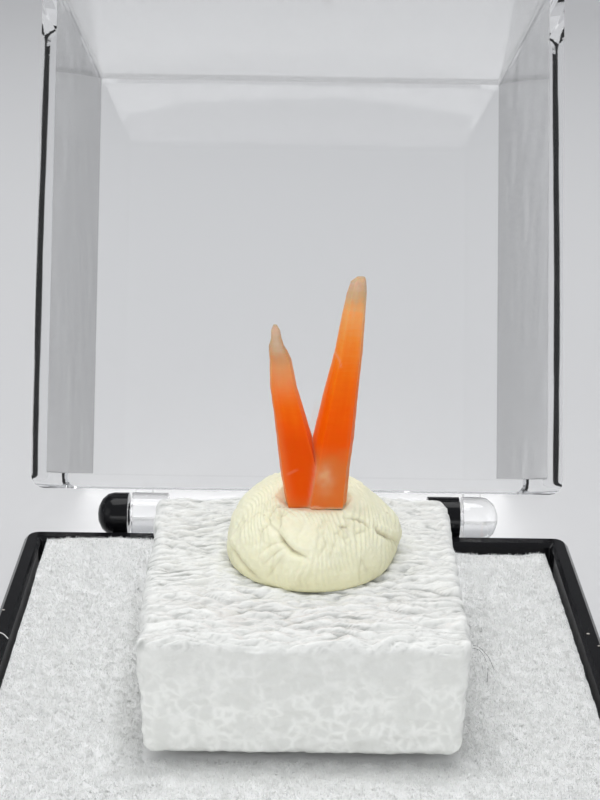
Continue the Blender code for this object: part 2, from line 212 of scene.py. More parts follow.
class NodeMaker:
    """A node tree whose nodes all come from one method."""

    tree: bpy.types.NodeTree

    def node(self, kind: str, settings: dict | None = None, sockets: dict | None = None,
             output: str | int = 0) -> Socket:
        """Adds any node.

        Args:
            kind: The node's type.
            settings: Its properties, set before its sockets. The key "stops" fills a colour ramp.
            sockets: Values, wires or sockets, by input name or number.
            output: The name or number of the output that is returned.

        Returns:
            One output socket of the new node.
        """
        made = self.tree.nodes.new(kind)
        for key, value in (settings or {}).items():
            if key == "stops":
                self._fill_ramp(made.color_ramp, value)
            else:
                setattr(made, key, value)
        for key, value in (sockets or {}).items():
            target = made.inputs[key]
            if isinstance(value, Wire):
                self.tree.links.new(value.socket, target)
            elif isinstance(value, Socket):
                self.tree.links.new(value, target)
            else:
                target.default_value = value
        return made.outputs[output]

    @staticmethod
    def _fill_ramp(ramp: bpy.types.ColorRamp, stops: tuple) -> None:
        """Sets a ramp's stops.

        Args:
            ramp: The colour ramp.
            stops: Pairs of a place from 0 to 1 and an (r, g, b) colour.
        """
        while len(ramp.elements) < len(stops):
            ramp.elements.new(1.0)
        for element, (place, colour) in zip(ramp.elements, stops):
            element.position = place
            element.color = (*colour, 1.0)


class Finish(NodeMaker):
    """One procedural material."""

    def __init__(self, name: str) -> None:
        """Starts an empty material.

        Args:
            name: The material's name.
        """
        self.material = bpy.data.materials.new(name)
        self.material.use_nodes = True
        self.tree = self.material.node_tree
        self.tree.nodes.clear()

    def place(self, stretch: Triple = (1.0, 1.0, 1.0)) -> Socket:
        """Returns Object coordinates, stretched along each axis."""
        where = self.node("ShaderNodeTexCoord", output="Object")
        return self.node("ShaderNodeVectorMath", {"operation": "MULTIPLY"}, {0: where, 1: stretch})

    def attribute(self, name: str) -> Wire:
        """Returns a number that the mesh carries at its points."""
        return Wire(self, self.node("ShaderNodeAttribute", {"attribute_name": name}, output="Fac"))

    def grain(self, size: float, detail: float = 2.0, stretch: Triple = (1.0, 1.0, 1.0)) -> Wire:
        """Returns a noise of a real size.

        Args:
            size: The length of one lump.
            detail: How many finer layers it has.
            stretch: How much finer it is along each axis.

        Returns:
            A wire from 0 to 1.
        """
        sockets = {"Vector": self.place(stretch), "Scale": 1.0 / size, "Detail": detail}
        return Wire(self, self.node("ShaderNodeTexNoise", None, sockets))

    def cell_edges(self, size: float) -> Wire:
        """Returns how far a point is from the edge of its cell, for bent cells of a real size."""
        where = self.place()
        sockets = {"Vector": where, "Scale": 0.8 / size, "Detail": 2.0}
        drift = self.node("ShaderNodeTexNoise", None, sockets, "Color")
        bend = self.node("ShaderNodeVectorMath", {"operation": "SCALE"}, {0: drift, "Scale": 0.9 * size})
        bent = self.node("ShaderNodeVectorMath", {"operation": "ADD"}, {0: where, 1: bend})
        sockets = {"Vector": bent, "Scale": 1.0 / size}
        return Wire(self, self.node("ShaderNodeTexVoronoi", {"feature": "DISTANCE_TO_EDGE"}, sockets))

    def ramp(self, value: Wire, stops: tuple) -> Socket:
        """Returns the colour of a value, from stops of (place, colour)."""
        return self.node("ShaderNodeValToRGB", {"stops": stops}, {0: value})

    def mix(self, share: object, first: object, second: object) -> Socket:
        """Mixes two colours.

        Args:
            share: A wire or a number, 0 for the first and 1 for the second.
            first: A colour as (r, g, b) or a socket.
            second: A colour as (r, g, b) or a socket.

        Returns:
            The mixed colour's socket.
        """
        sockets = {0: share}
        for key, colour in ((6, first), (7, second)):
            sockets[key] = (*colour, 1.0) if isinstance(colour, tuple) else colour
        return self.node("ShaderNodeMix", {"data_type": "RGBA"}, sockets, output=2)

    def bump(self, height: Wire, depth: float) -> Socket:
        """Returns a normal from a height of 0 to 1 and its real depth."""
        return self.node("ShaderNodeBump", None, {"Height": height, "Strength": 1.0, "Distance": depth})

    def surface(self, **sockets: object) -> Socket:
        """Returns a Principled BSDF. Its sockets are given by name, with spaces as underscores."""
        named = {key.replace("_", " "): value for key, value in sockets.items()}
        if isinstance(named["Base Color"], tuple):
            named["Base Color"] = (*named["Base Color"], 1.0)
        return self.node("ShaderNodeBsdfPrincipled", {"subsurface_method": "RANDOM_WALK"}, named)

    def done(self, shader: Socket) -> bpy.types.Material:
        """Joins a shader to the output.

        Args:
            shader: The shader's socket.

        Returns:
            The finished material.
        """
        end = self.tree.nodes.new("ShaderNodeOutputMaterial")
        self.tree.links.new(shader, end.inputs["Surface"])
        return self.material


@dataclass(frozen=True)
class BlackPlastic:
    """Glossy black moulded polystyrene."""

    colour: Triple = (0.006, 0.006, 0.007)
    roughness: float = 0.12

    def make(self) -> bpy.types.Material:
        """Returns the material, with faint handling smears and fine dust in its gloss."""
        finish = Finish("black_polystyrene")
        smear = finish.grain(2.3 * MM, 3.0).above(0.45, 0.75)
        dust = finish.grain(0.07 * MM, 1.0).above(0.72, 0.80)
        colour = finish.mix(dust * 0.5, self.colour, (0.10, 0.10, 0.10))
        roughness = smear * 0.10 + self.roughness
        normal = finish.bump(finish.grain(0.9 * MM, 2.0), 0.004 * MM)
        return finish.done(finish.surface(
            Base_Color=colour, Roughness=roughness, Normal=normal, IOR=1.59, Specular_IOR_Level=0.12))


@dataclass(frozen=True)
class ClearPlastic:
    """Clear moulded polystyrene, a little scuffed."""

    colour: Triple = (0.985, 0.988, 0.99)
    roughness: float = 0.02

    def make(self) -> bpy.types.Material:
        """Returns the material, with a slow waviness and faint scuffs."""
        finish = Finish("clear_polystyrene")
        scuff = finish.grain(0.35 * MM, 2.0, (0.2, 1.0, 1.0)).above(0.70, 0.80)
        roughness = scuff * 0.10 + self.roughness
        normal = finish.bump(finish.grain(6.0 * MM, 1.0), 0.006 * MM)
        return finish.done(finish.surface(Base_Color=self.colour, Roughness=roughness, Normal=normal,
                                          Transmission_Weight=1.0, IOR=1.59))


@dataclass(frozen=True)
class PileFibre:
    """White spun fibre with a slight gloss."""

    colour: Triple = (0.965, 0.970, 0.955)
    shade: Triple = (0.945, 0.952, 0.936)

    def make(self, name: str) -> bpy.types.Material:
        """Returns the material.

        Args:
            name: The material's name.

        Returns:
            White fibre whose tone changes a little from tuft to tuft.
        """
        finish = Finish(name)
        tuft = finish.grain(1.2 * MM, 1.0).above(0.35, 0.65)
        colour = finish.mix(tuft, self.shade, self.colour)
        return finish.done(finish.surface(
            Base_Color=colour, Roughness=0.5, Subsurface_Weight=1.0, Subsurface_Radius=(1.0, 1.0, 1.0),
            Subsurface_Scale=1.3 * MM))


@dataclass(frozen=True)
class CellFoam:
    """White closed-cell packing foam: opaque skin on top and clearer cut cells at the sides."""

    skin: Triple = (0.79, 0.795, 0.77)
    # The colour of the painted shade in the skin's valleys.
    valley_shade: Triple = (0.40, 0.41, 0.39)
    wall: Triple = (0.87, 0.875, 0.848)
    window: Triple = (0.752, 0.757, 0.73)
    cell_size: float = FOAM_CELL
    clear_heights: tuple[float, float] = (10.0 * MM, 13.0 * MM)

    def make(self) -> bpy.types.Material:
        """Returns the material, from the mesh's attributes for the cut sides and for the painted shade in the
        skin's valleys.
        """
        finish = Finish("white_cell_foam")
        side = finish.attribute("cut_side")
        walls = 1.0 - finish.cell_edges(self.cell_size).above(0.0, 0.30)
        haze = finish.grain(0.9 * MM, 2.0).above(0.36, 0.64)
        height = Wire(finish, finish.node("ShaderNodeSeparateXYZ", None, {0: finish.place()}, "Z"))
        upper = height.above(*self.clear_heights)
        wall_share = walls * (haze * 0.80 + 0.15) * (1.0 - upper * 0.65) + haze * 0.15
        cut = finish.mix(wall_share, self.window, self.wall)
        speck = finish.grain(0.12 * MM, 2.0).above(0.35, 0.7)
        skin = finish.mix(speck * 0.3, self.skin, self.wall)
        # Painted shade: the skin's valleys are darkened.
        skin = finish.mix(finish.attribute("valley_shade"), skin, self.valley_shade)
        colour = finish.mix(side, skin, cut)
        roughness = side * 0.15 + 0.34
        normal = finish.bump(finish.grain(0.10 * MM, 3.0), 0.02 * MM)
        return finish.done(finish.surface(
            Base_Color=colour, Roughness=roughness, Normal=normal, Subsurface_Weight=0.35,
            Subsurface_Radius=(1.0, 1.0, 1.0), Subsurface_Scale=0.25 * MM, IOR=1.45))


@dataclass(frozen=True)
class Putty:
    """Cream mineral putty, dull, with painted shade in its creases and towards its foot."""

    light: Triple = (0.91, 0.895, 0.68)
    # The darker tone of the painted shade towards the foot, which the mottle also leans to.
    foot: Triple = (0.78, 0.755, 0.505)
    # The colour of the painted shade in the creases and of the small dark specks.
    crease: Triple = (0.50, 0.42, 0.30)

    def make(self) -> bpy.types.Material:
        """Returns the material, from the mesh's foot and crease attributes: painted shade towards the foot
        and in the folds and crinkles, and the dark specks.
        """
        finish = Finish("cream_putty")
        mottle = finish.grain(0.5 * MM, 3.0).above(0.3, 0.7)
        # Painted shade: darker towards the foot.
        colour = finish.mix(finish.attribute("foot"), self.light, self.foot)
        colour = finish.mix(mottle * 0.36, colour, self.foot)
        # Painted shade in the folds and crinkles, with the small dark specks.
        colour = finish.mix(finish.attribute("crease") * 0.75, colour, self.crease)
        normal = finish.bump(finish.grain(0.14 * MM, 4.0), 0.028 * MM)
        return finish.done(finish.surface(
            Base_Color=colour, Roughness=0.55, Normal=normal, Subsurface_Weight=0.15,
            Subsurface_Radius=(1.0, 0.8, 0.45), Subsurface_Scale=0.15 * MM, IOR=1.42))


@dataclass(frozen=True)
class HematoidQuartz:
    """Quartz clouded orange by hematite, clearer and paler to the tips, with painted reflection along the
    crystals' edges and on their side facets, and painted shade high on the left crystal and on the right
    one's narrow side.
    """

    stops: tuple = (
        (0.0, (0.85, 0.60, 0.40)),
        (0.15, (0.79, 0.52, 0.27)),
        (0.26, (0.95, 0.42, 0.14)),
        (0.45, (1.0, 0.31, 0.05)),
        (0.70, (1.0, 0.19, 0.006)),
        (1.0, (0.94, 0.125, 0.001)),
    )
    # The colour of the painted shade high on the left crystal and on the right one's narrow side.
    painted_shade_tone: Triple = (0.55, 0.38, 0.25)
    deep: Triple = (0.83, 0.096, 0.001)
    # The lighter colour of the painted light on the side facets.
    side_facet_light: Triple = (0.84, 0.21, 0.052)
    dusty: Triple = (0.74, 0.20, 0.040)
    # The pale colour of the painted edge reflection and seam highlight, and of the base line and scratches.
    edge: Triple = (0.90, 0.48, 0.31)
    cloud: Triple = (0.79, 0.40, 0.20)
    clear: Triple = (0.97, 0.90, 0.84)

    def make(self) -> bpy.types.Material:
        """Returns the material: a glowing orange body that gives way to glassy quartz where the mesh says."""
        finish = Finish("hematoid_quartz")
        tint = finish.attribute("tint")
        wisps = finish.grain(0.5 * MM, 3.0, (1.0, 1.0, 0.35))
        steps = finish.grain(0.11 * MM, 2.0, (0.15, 0.15, 1.0))
        streaks = (finish.attribute("streak") - 0.5) * 0.22 * tint
        stained = tint + (wisps - 0.5) * 0.16 + (steps - 0.5) * 0.14 + streaks
        colour = finish.ramp(stained, self.stops)
        # Painted shade: the left crystal's upper half and the right one's narrow side are darkened.
        colour = finish.mix(finish.attribute("upper_and_side_shade"), colour, self.painted_shade_tone)
        colour = finish.mix(finish.attribute("depth"), colour, self.deep)
        # Painted light: lighter bands on the side facets, where the core share is low.
        colour = finish.mix((1.0 - finish.attribute("core")) * tint * 0.75, colour, self.side_facet_light)
        colour = finish.mix(finish.attribute("dust"), colour, self.dusty)
        colour = finish.mix(finish.attribute("cloud"), colour, self.cloud)
        # Painted reflection along the edges and painted highlight along the seam, with the pale base line and
        # scratches.
        colour = finish.mix(finish.attribute("edge"), colour, self.edge)
        lines = finish.grain(0.16 * MM, 2.0, (1.0, 1.0, 0.12))
        normal = finish.bump(lines * 0.5 + steps * 0.5, 0.010 * MM)
        body = finish.surface(
            Base_Color=colour, Roughness=0.34, Normal=normal, Subsurface_Weight=0.8,
            Subsurface_Radius=(1.0, 0.45, 0.2), Subsurface_Scale=0.40 * MM, IOR=1.544,
            Specular_IOR_Level=0.03)
        glass = finish.surface(
            Base_Color=self.clear, Roughness=0.16, Normal=normal, Transmission_Weight=1.0, IOR=1.544)
        share = finish.attribute("glass")
        both = finish.node("ShaderNodeMixShader", None, {0: share, 1: body, 2: glass})
        return finish.done(both)


@dataclass(frozen=True)
class PlainSpeck:
    """A dull finish for hairs and dust."""

    name: str
    colour: Triple

    def make(self) -> bpy.types.Material:
        """Returns the material, a little mottled."""
        finish = Finish(self.name)
        darker = tuple(0.6 * part for part in self.colour)
        colour = finish.mix(finish.grain(0.1 * MM), darker, self.colour)
        return finish.done(finish.surface(Base_Color=colour, Roughness=0.6))


def new_object(name: str, mesh: bpy.types.Mesh,
               material: bpy.types.Material | None = None) -> bpy.types.Object:
    """Links a mesh as an object at the origin.

    Args:
        name: The object's name.
        mesh: Its mesh, in place.
        material: Its only material.

    Returns:
        The new object.
    """
    mesh.name = name
    if material is not None:
        mesh.materials.clear()
        mesh.materials.append(material)
    made = bpy.data.objects.new(name, mesh)
    bpy.context.scene.collection.objects.link(made)
    return made


def mesh_of(points: list, faces: list) -> bpy.types.Mesh:
    """Makes a smooth mesh with its faces pointing out.

    Args:
        points: Every vertex.
        faces: Every face, as numbers of its vertices.

    Returns:
        The mesh.
    """
    mesh = bpy.data.meshes.new("made")
    mesh.from_pydata(points, [], faces)
    bm = bmesh.new()
    bm.from_mesh(mesh)
    bmesh.ops.recalc_face_normals(bm, faces=bm.faces)
    bm.to_mesh(mesh)
    bm.free()
    mesh.shade_smooth()
    return mesh


def set_attribute(mesh: bpy.types.Mesh, name: str, value_at: Callable[[Vector], float]) -> None:
    """Gives every vertex a number.

    Args:
        mesh: The mesh.
        name: The attribute's name.
        value_at: A function from a vertex's place to its number.
    """
    layer = mesh.attributes.new(name, "FLOAT", "POINT")
    layer.data.foreach_set("value", [value_at(vertex.co) for vertex in mesh.vertices])


def baked(obj: bpy.types.Object) -> bpy.types.Object:
    """Turns an object's modifiers into its plain mesh.

    Args:
        obj: The object.

    Returns:
        The same object, with no modifiers.
    """
    graph = bpy.context.evaluated_depsgraph_get()
    result = bpy.data.meshes.new_from_object(obj.evaluated_get(graph))
    obj.modifiers.clear()
    result.name = obj.data.name
    obj.data = result
    return obj


def hand_over(obj: bpy.types.Object, body: Body, slot: Slot, *nodes: str) -> None:
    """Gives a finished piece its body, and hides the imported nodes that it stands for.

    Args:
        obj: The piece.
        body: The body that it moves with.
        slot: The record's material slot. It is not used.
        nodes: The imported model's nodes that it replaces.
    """
    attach(obj, body.value)
    if nodes:
        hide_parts(*nodes)
    LOG.info("%s: %d faces on %s", obj.name, len(obj.data.polygons), body.value)


def merged_copy(node: str, name: str) -> bpy.types.Object:
    """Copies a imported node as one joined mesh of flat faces.

    Args:
        node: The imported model's node.
        name: The copy's name.

    Returns:
        The copy, with no material.
    """
    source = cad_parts[node].data
    mesh = bpy.data.meshes.new(name)
    mesh.from_pydata([tuple(vertex.co) for vertex in source.vertices], [],
                     [tuple(face.vertices) for face in source.polygons])
    bm = bmesh.new()
    bm.from_mesh(mesh)
    bmesh.ops.remove_doubles(bm, verts=bm.verts, dist=MERGE_DISTANCE)
    bmesh.ops.dissolve_limit(bm, angle_limit=FLAT_ANGLE, verts=bm.verts, edges=bm.edges)
    bm.to_mesh(mesh)
    bm.free()
    return new_object(name, mesh)


def soften_edges(obj: bpy.types.Object, width: float) -> None:
    """Rounds a hard moulding's edges and shades its curves smooth.

    Args:
        obj: The moulding.
        width: The rounding's width.
    """
    obj.data.shade_smooth()
    obj.data.set_sharp_from_angle(angle=SHARP_ANGLE)
    bevel = obj.modifiers.new("soft edges", "BEVEL")
    bevel.width = width
    bevel.segments = ROUNDING_STEPS
    bevel.limit_method = "ANGLE"
    bevel.angle_limit = SHARP_ANGLE
    bevel.harden_normals = True
    baked(obj)


@dataclass
class DisplayTray:
    """The black tray, with its two knuckles, and the specks of dust on its rim."""

    edge_rounding: float = 0.06 * MM
    rim_height: float = 8.0 * MM
    specks: tuple = ((15.25, 4.45, 0.09), (15.6, 3.22, 0.07), (-15.6, 6.19, 0.08), (-15.35, -6.4, 0.06))

    def build(self) -> None:
        """Makes the tray and what lies on its rim."""
        tray = merged_copy("tray", "black_tray")
        soften_edges(tray, self.edge_rounding)
        tray.data.materials.append(BlackPlastic().make())
        hand_over(tray, Body.BOX, Slot.BLACK_PLASTIC, "tray")
        self._build_specks()

    def _build_specks(self) -> None:
        """Makes the pale specks of dust as one piece of small flattened lumps, on the rim's top."""
        bm = bmesh.new()
        for x, y, size in self.specks:
            place = Matrix.Translation((x * MM, y * MM, self.rim_height + 0.2 * size * MM))
            shape = Matrix.Diagonal((size * MM, 0.7 * size * MM, 0.4 * size * MM, 1.0))
            bmesh.ops.create_icosphere(bm, subdivisions=2, radius=1.0, matrix=place @ shape)
        mesh = bpy.data.meshes.new("rim_dust")
        bm.to_mesh(mesh)
        bm.free()
        mesh.shade_smooth()
        dust = new_object("rim_dust", mesh, PlainSpeck("pale_dust", (0.55, 0.52, 0.47)).make())
        hand_over(dust, Body.BOX, Slot.WHITE_PILE)


@dataclass
class ClearLid:
    """The clear lid, with its knuckles and pins, leaning open behind the tray."""

    edge_rounding: float = 0.08 * MM

    def build(self) -> None:
        """Makes the lid."""
        lid = merged_copy("lid", "clear_lid")
        soften_edges(lid, self.edge_rounding)
        lid.data.materials.append(ClearPlastic().make())
        lid.visible_shadow = False
        hand_over(lid, Body.LID, Slot.CLEAR_PLASTIC, "lid")


class NodeTree(NodeMaker):
    """A Geometry Nodes tree with named inputs."""

    def __init__(self, name: str) -> None:
        """Starts a tree that takes and gives a geometry.

        Args:
            name: The tree's name.
        """
        self.tree = bpy.data.node_groups.new(name, "GeometryNodeTree")
        self.tree.interface.new_socket("Geometry", in_out="INPUT", socket_type="NodeSocketGeometry")
        self.tree.interface.new_socket("Geometry", in_out="OUTPUT", socket_type="NodeSocketGeometry")
        self.group_input = self.tree.nodes.new("NodeGroupInput")
        self.identifiers: dict[str, str] = {}

    def input(self, name: str, kind: str) -> Socket:
        """Adds a named input.

        Args:
            name: The input's name.
            kind: Its socket type, such as NodeSocketFloat.

        Returns:
            The input's socket inside the tree.
        """
        item = self.tree.interface.new_socket(name, in_out="INPUT", socket_type=kind)
        self.identifiers[name] = item.identifier
        return self.group_input.outputs[name]

    def math(self, operation: str, first: object, second: object) -> Socket:
        """Returns the result of a Math node."""
        return self.node("ShaderNodeMath", {"operation": operation}, {0: first, 1: second})

    def vector(self, operation: str, first: object, second: object) -> Socket:
        """Returns the result of a Vector Math node. A Scale takes its factor as the second value."""
        key = "Scale" if operation == "SCALE" else 1
        return self.node("ShaderNodeVectorMath", {"operation": operation}, {0: first, key: second})

    def finish(self, geometry: Socket) -> None:
        """Joins the geometry to the tree's output."""
        end = self.tree.nodes.new("NodeGroupOutput")
        self.tree.links.new(geometry, end.inputs[0])

    def apply_to(self, obj: bpy.types.Object, values: dict) -> bpy.types.Object:
        """Runs the tree on an object and keeps the result as its plain mesh.

        Args:
            obj: The object.
            values: The value of each named input.

        Returns:
            The same object.
        """
        modifier = obj.modifiers.new("nodes", "NODES")
        modifier.node_group = self.tree
        for name, value in values.items():
            modifier[self.identifiers[name]] = value
        return baked(obj)


@dataclass
class PileLiner:
    """The white pile pad: a backing that fills the tray, and the fibres that stand on it."""

    fibre_length: float = 0.27 * MM
    fibre_radius: float = 0.034 * MM
    fibres_per_square_mm: float = 260.0
    fibre_lean: float = 0.45
    backing_drop: float = 0.15 * MM
    backing_cells: int = 190
    patch_cell: float = 0.35 * MM
    root_depth: float = 0.08 * MM
    clump_size: float = 0.45 * MM
    under_block: float = 0.3 * MM
    first_seed: int = 3
    wall_gap: Vector = placed_at(0.03, 0.03, 0.0)
    tip_reach: Vector = placed_at(0.0, 0.0, 0.4)

    def __post_init__(self) -> None:
        """Reads the pad's and the block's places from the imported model."""
        self.low, self.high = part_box("liner_pad")
        self.block_low, self.block_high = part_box("foam_block")
        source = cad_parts["liner_pad"].data
        self.surface = BVHTree.FromPolygons([vertex.co for vertex in source.vertices],
                                            [tuple(face.vertices) for face in source.polygons])

    def tip_height(self, x: float, y: float) -> float:
        """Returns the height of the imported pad's top at a place."""
        inset = 0.01 * MM
        x = clamped(x, self.low.x + inset, self.high.x - inset)
        y = clamped(y, self.low.y + inset, self.high.y - inset)
        hit = self.surface.ray_cast(Vector((x, y, self.high.z + 5.0 * MM)), Vector((0.0, 0.0, -1.0)))[0]
        return hit.z if hit is not None else self.high.z

    def backing_height(self, x: float, y: float) -> float:
        """Returns the height of the backing, whose fine lumps are the fibres' clumps."""
        place = Vector((x, y, 0.0))
        clump = soft_noise(place, 0.9) * 0.09 * MM
        fine = soft_noise(place, 0.30, (4.0, 2.0, 7.0)) * 0.045 * MM
        return self.tip_height(x, y) - self.backing_drop + clump + fine

    def build(self) -> None:
        """Makes the backing and the five zones of fibres around the block."""
        material = PileFibre().make("white_pile_backing")
        backing = new_object("pile_backing", self._backing_mesh(), material)
        hand_over(backing, Body.BOX, Slot.WHITE_PILE, "liner_pad")
        self.fibre_material = PileFibre().make("white_pile_fibre")
        self.tree = self._fibre_tree()
        under = self.under_block
        left, right = self.block_low.x + under, self.block_high.x - under
        front, back = self.block_low.y + under, self.block_high.y - under
        middle = (left + right) / 2
        zones = {
            "pile_fibres_front_left": (self.low.x, self.low.y, middle, front),
            "pile_fibres_front_right": (middle, self.low.y, self.high.x, front),
            "pile_fibres_left": (self.low.x, front, left, back),
            "pile_fibres_right": (right, front, self.high.x, back),
            "pile_fibres_back": (self.low.x, back, self.high.x, self.high.y),
        }
        for seed, (name, zone) in enumerate(zones.items()):
            self._build_zone(name, zone, seed)

    def _backing_mesh(self) -> bpy.types.Mesh:
        """Returns the backing as a closed slab with a fine uneven top."""
        cells = self.backing_cells
        zone = (self.low.x, self.low.y, self.high.x, self.high.y)
        points, faces = grid(zone, cells, cells, self.backing_height)
        across = cells + 1
        rim = list(range(cells)) + [row * across + cells for row in range(cells)]
        rim += [cells * across + column for column in range(cells, 0, -1)]
        rim += [row * across for row in range(cells, 0, -1)]
        first = len(points)
        points += [(points[index][0], points[index][1], self.low.z) for index in rim]
        count = len(rim)
        for step in range(count):
            after = (step + 1) % count
            faces.append((rim[after], rim[step], first + step, first + after))
        faces.append(tuple(first + step for step in reversed(range(count))))
        return mesh_of(points, faces)

    def _fibre_tree(self) -> NodeTree:
        """Returns the tree that stands fibres on a surface.

        They lean with a slow noise, so that they clump, and stay between the tray's walls.
        """
        nodes = NodeTree("stand_fibres")
        density = nodes.input("Fibres per area", "NodeSocketFloat")
        length = nodes.input("Fibre length", "NodeSocketFloat")
        radius = nodes.input("Fibre radius", "NodeSocketFloat")
        lean = nodes.input("Lean", "NodeSocketFloat")
        clump = nodes.input("Clump size", "NodeSocketFloat")
        seed = nodes.input("Seed", "NodeSocketInt")
        lowest = nodes.input("Lowest place", "NodeSocketVector")
        highest = nodes.input("Highest place", "NodeSocketVector")
        material = nodes.input("Material", "NodeSocketMaterial")
        cone = nodes.node("GeometryNodeMeshCone", {"fill_type": "NGON"}, {
            "Vertices": 3, "Side Segments": 1, "Radius Top": 0.0, "Radius Bottom": radius, "Depth": length})
        where = nodes.node("GeometryNodeInputPosition")
        height = nodes.node("ShaderNodeSeparateXYZ", None, {0: where}, output=2)
        share = nodes.math("DIVIDE", height, length)
        cone = nodes.node("GeometryNodeStoreNamedAttribute", {"data_type": "FLOAT", "domain": "POINT"},
                          {"Geometry": cone, "Name": "along", "Value": share})
        points = nodes.node("GeometryNodeDistributePointsOnFaces", {"distribute_method": "RANDOM"}, {
            "Mesh": nodes.group_input.outputs["Geometry"], "Density": density, "Seed": seed})
        spin = nodes.node("FunctionNodeRandomValue", {"data_type": "FLOAT_VECTOR"}, {
            0: (-0.75, -0.75, 0.0), 1: (0.75, 0.75, math.tau), "Seed": seed})
        size = nodes.node("FunctionNodeRandomValue", {"data_type": "FLOAT"}, {2: 0.62, 3: 1.12, "Seed": seed},
                          output=1)
        placed = nodes.node("GeometryNodeInstanceOnPoints", None, {
            "Points": points, "Instance": cone, "Rotation": spin, "Scale": size})
        real = nodes.node("GeometryNodeRealizeInstances", None, {"Geometry": placed})
        frequency = nodes.math("DIVIDE", 1.0, clump)
        position = nodes.node("GeometryNodeInputPosition")
        drift = nodes.node("ShaderNodeTexNoise", {"noise_dimensions": "3D"}, {
            "Vector": position, "Scale": frequency, "Detail": 2.0}, output="Color")
        swing = nodes.vector("SUBTRACT", drift, (0.5, 0.5, 0.5))
        flat = nodes.vector("MULTIPLY", swing, (1.0, 1.0, 0.35))
        along = nodes.node("GeometryNodeInputNamedAttribute", {"data_type": "FLOAT"}, {"Name": "along"})
        reach = nodes.math("MULTIPLY", along, nodes.math("MULTIPLY", lean, length))
        offset = nodes.vector("SCALE", flat, nodes.math("MULTIPLY", reach, 4.0))
        bent = nodes.node("GeometryNodeSetPosition", None, {"Geometry": real, "Offset": offset})
        held = nodes.vector("MINIMUM", nodes.vector("MAXIMUM", position, lowest), highest)
        inside = nodes.node("GeometryNodeSetPosition", None, {"Geometry": bent, "Position": held})
        bare = nodes.node("GeometryNodeRemoveAttribute", None, {"Geometry": inside, "Name": "along"})
        nodes.finish(nodes.node("GeometryNodeSetMaterial", None, {"Geometry": bare, "Material": material}))
        return nodes

    def _build_zone(self, name: str, zone: tuple[float, float, float, float], seed: int) -> None:
        """Makes one zone's fibres on a patch of the backing.

        Args:
            name: The piece's name.
            zone: The patch's lowest x and y and highest x and y.
            seed: The random draw of this zone.
        """
        low_x, low_y, high_x, high_y = zone
        columns = max(2, round((high_x - low_x) / self.patch_cell))
        rows = max(2, round((high_y - low_y) / self.patch_cell))
        points, faces = grid(zone, columns, rows, lambda x, y: self.backing_height(x, y) - self.root_depth)
        mesh = bpy.data.meshes.new(name)
        mesh.from_pydata(points, [], faces)
        patch = new_object(name, mesh)
        self.tree.apply_to(patch, {
            "Fibres per area": self.fibres_per_square_mm / MM ** 2,
            "Fibre length": self.fibre_length,
            "Fibre radius": self.fibre_radius,
            "Lean": self.fibre_lean,
            "Clump size": self.clump_size,
            "Seed": self.first_seed + seed,
            "Lowest place": tuple(self.low + self.wall_gap),
            "Highest place": tuple(self.high - self.wall_gap + self.tip_reach),
            "Material": self.fibre_material,
        })
        hand_over(patch, Body.BOX, Slot.WHITE_PILE)


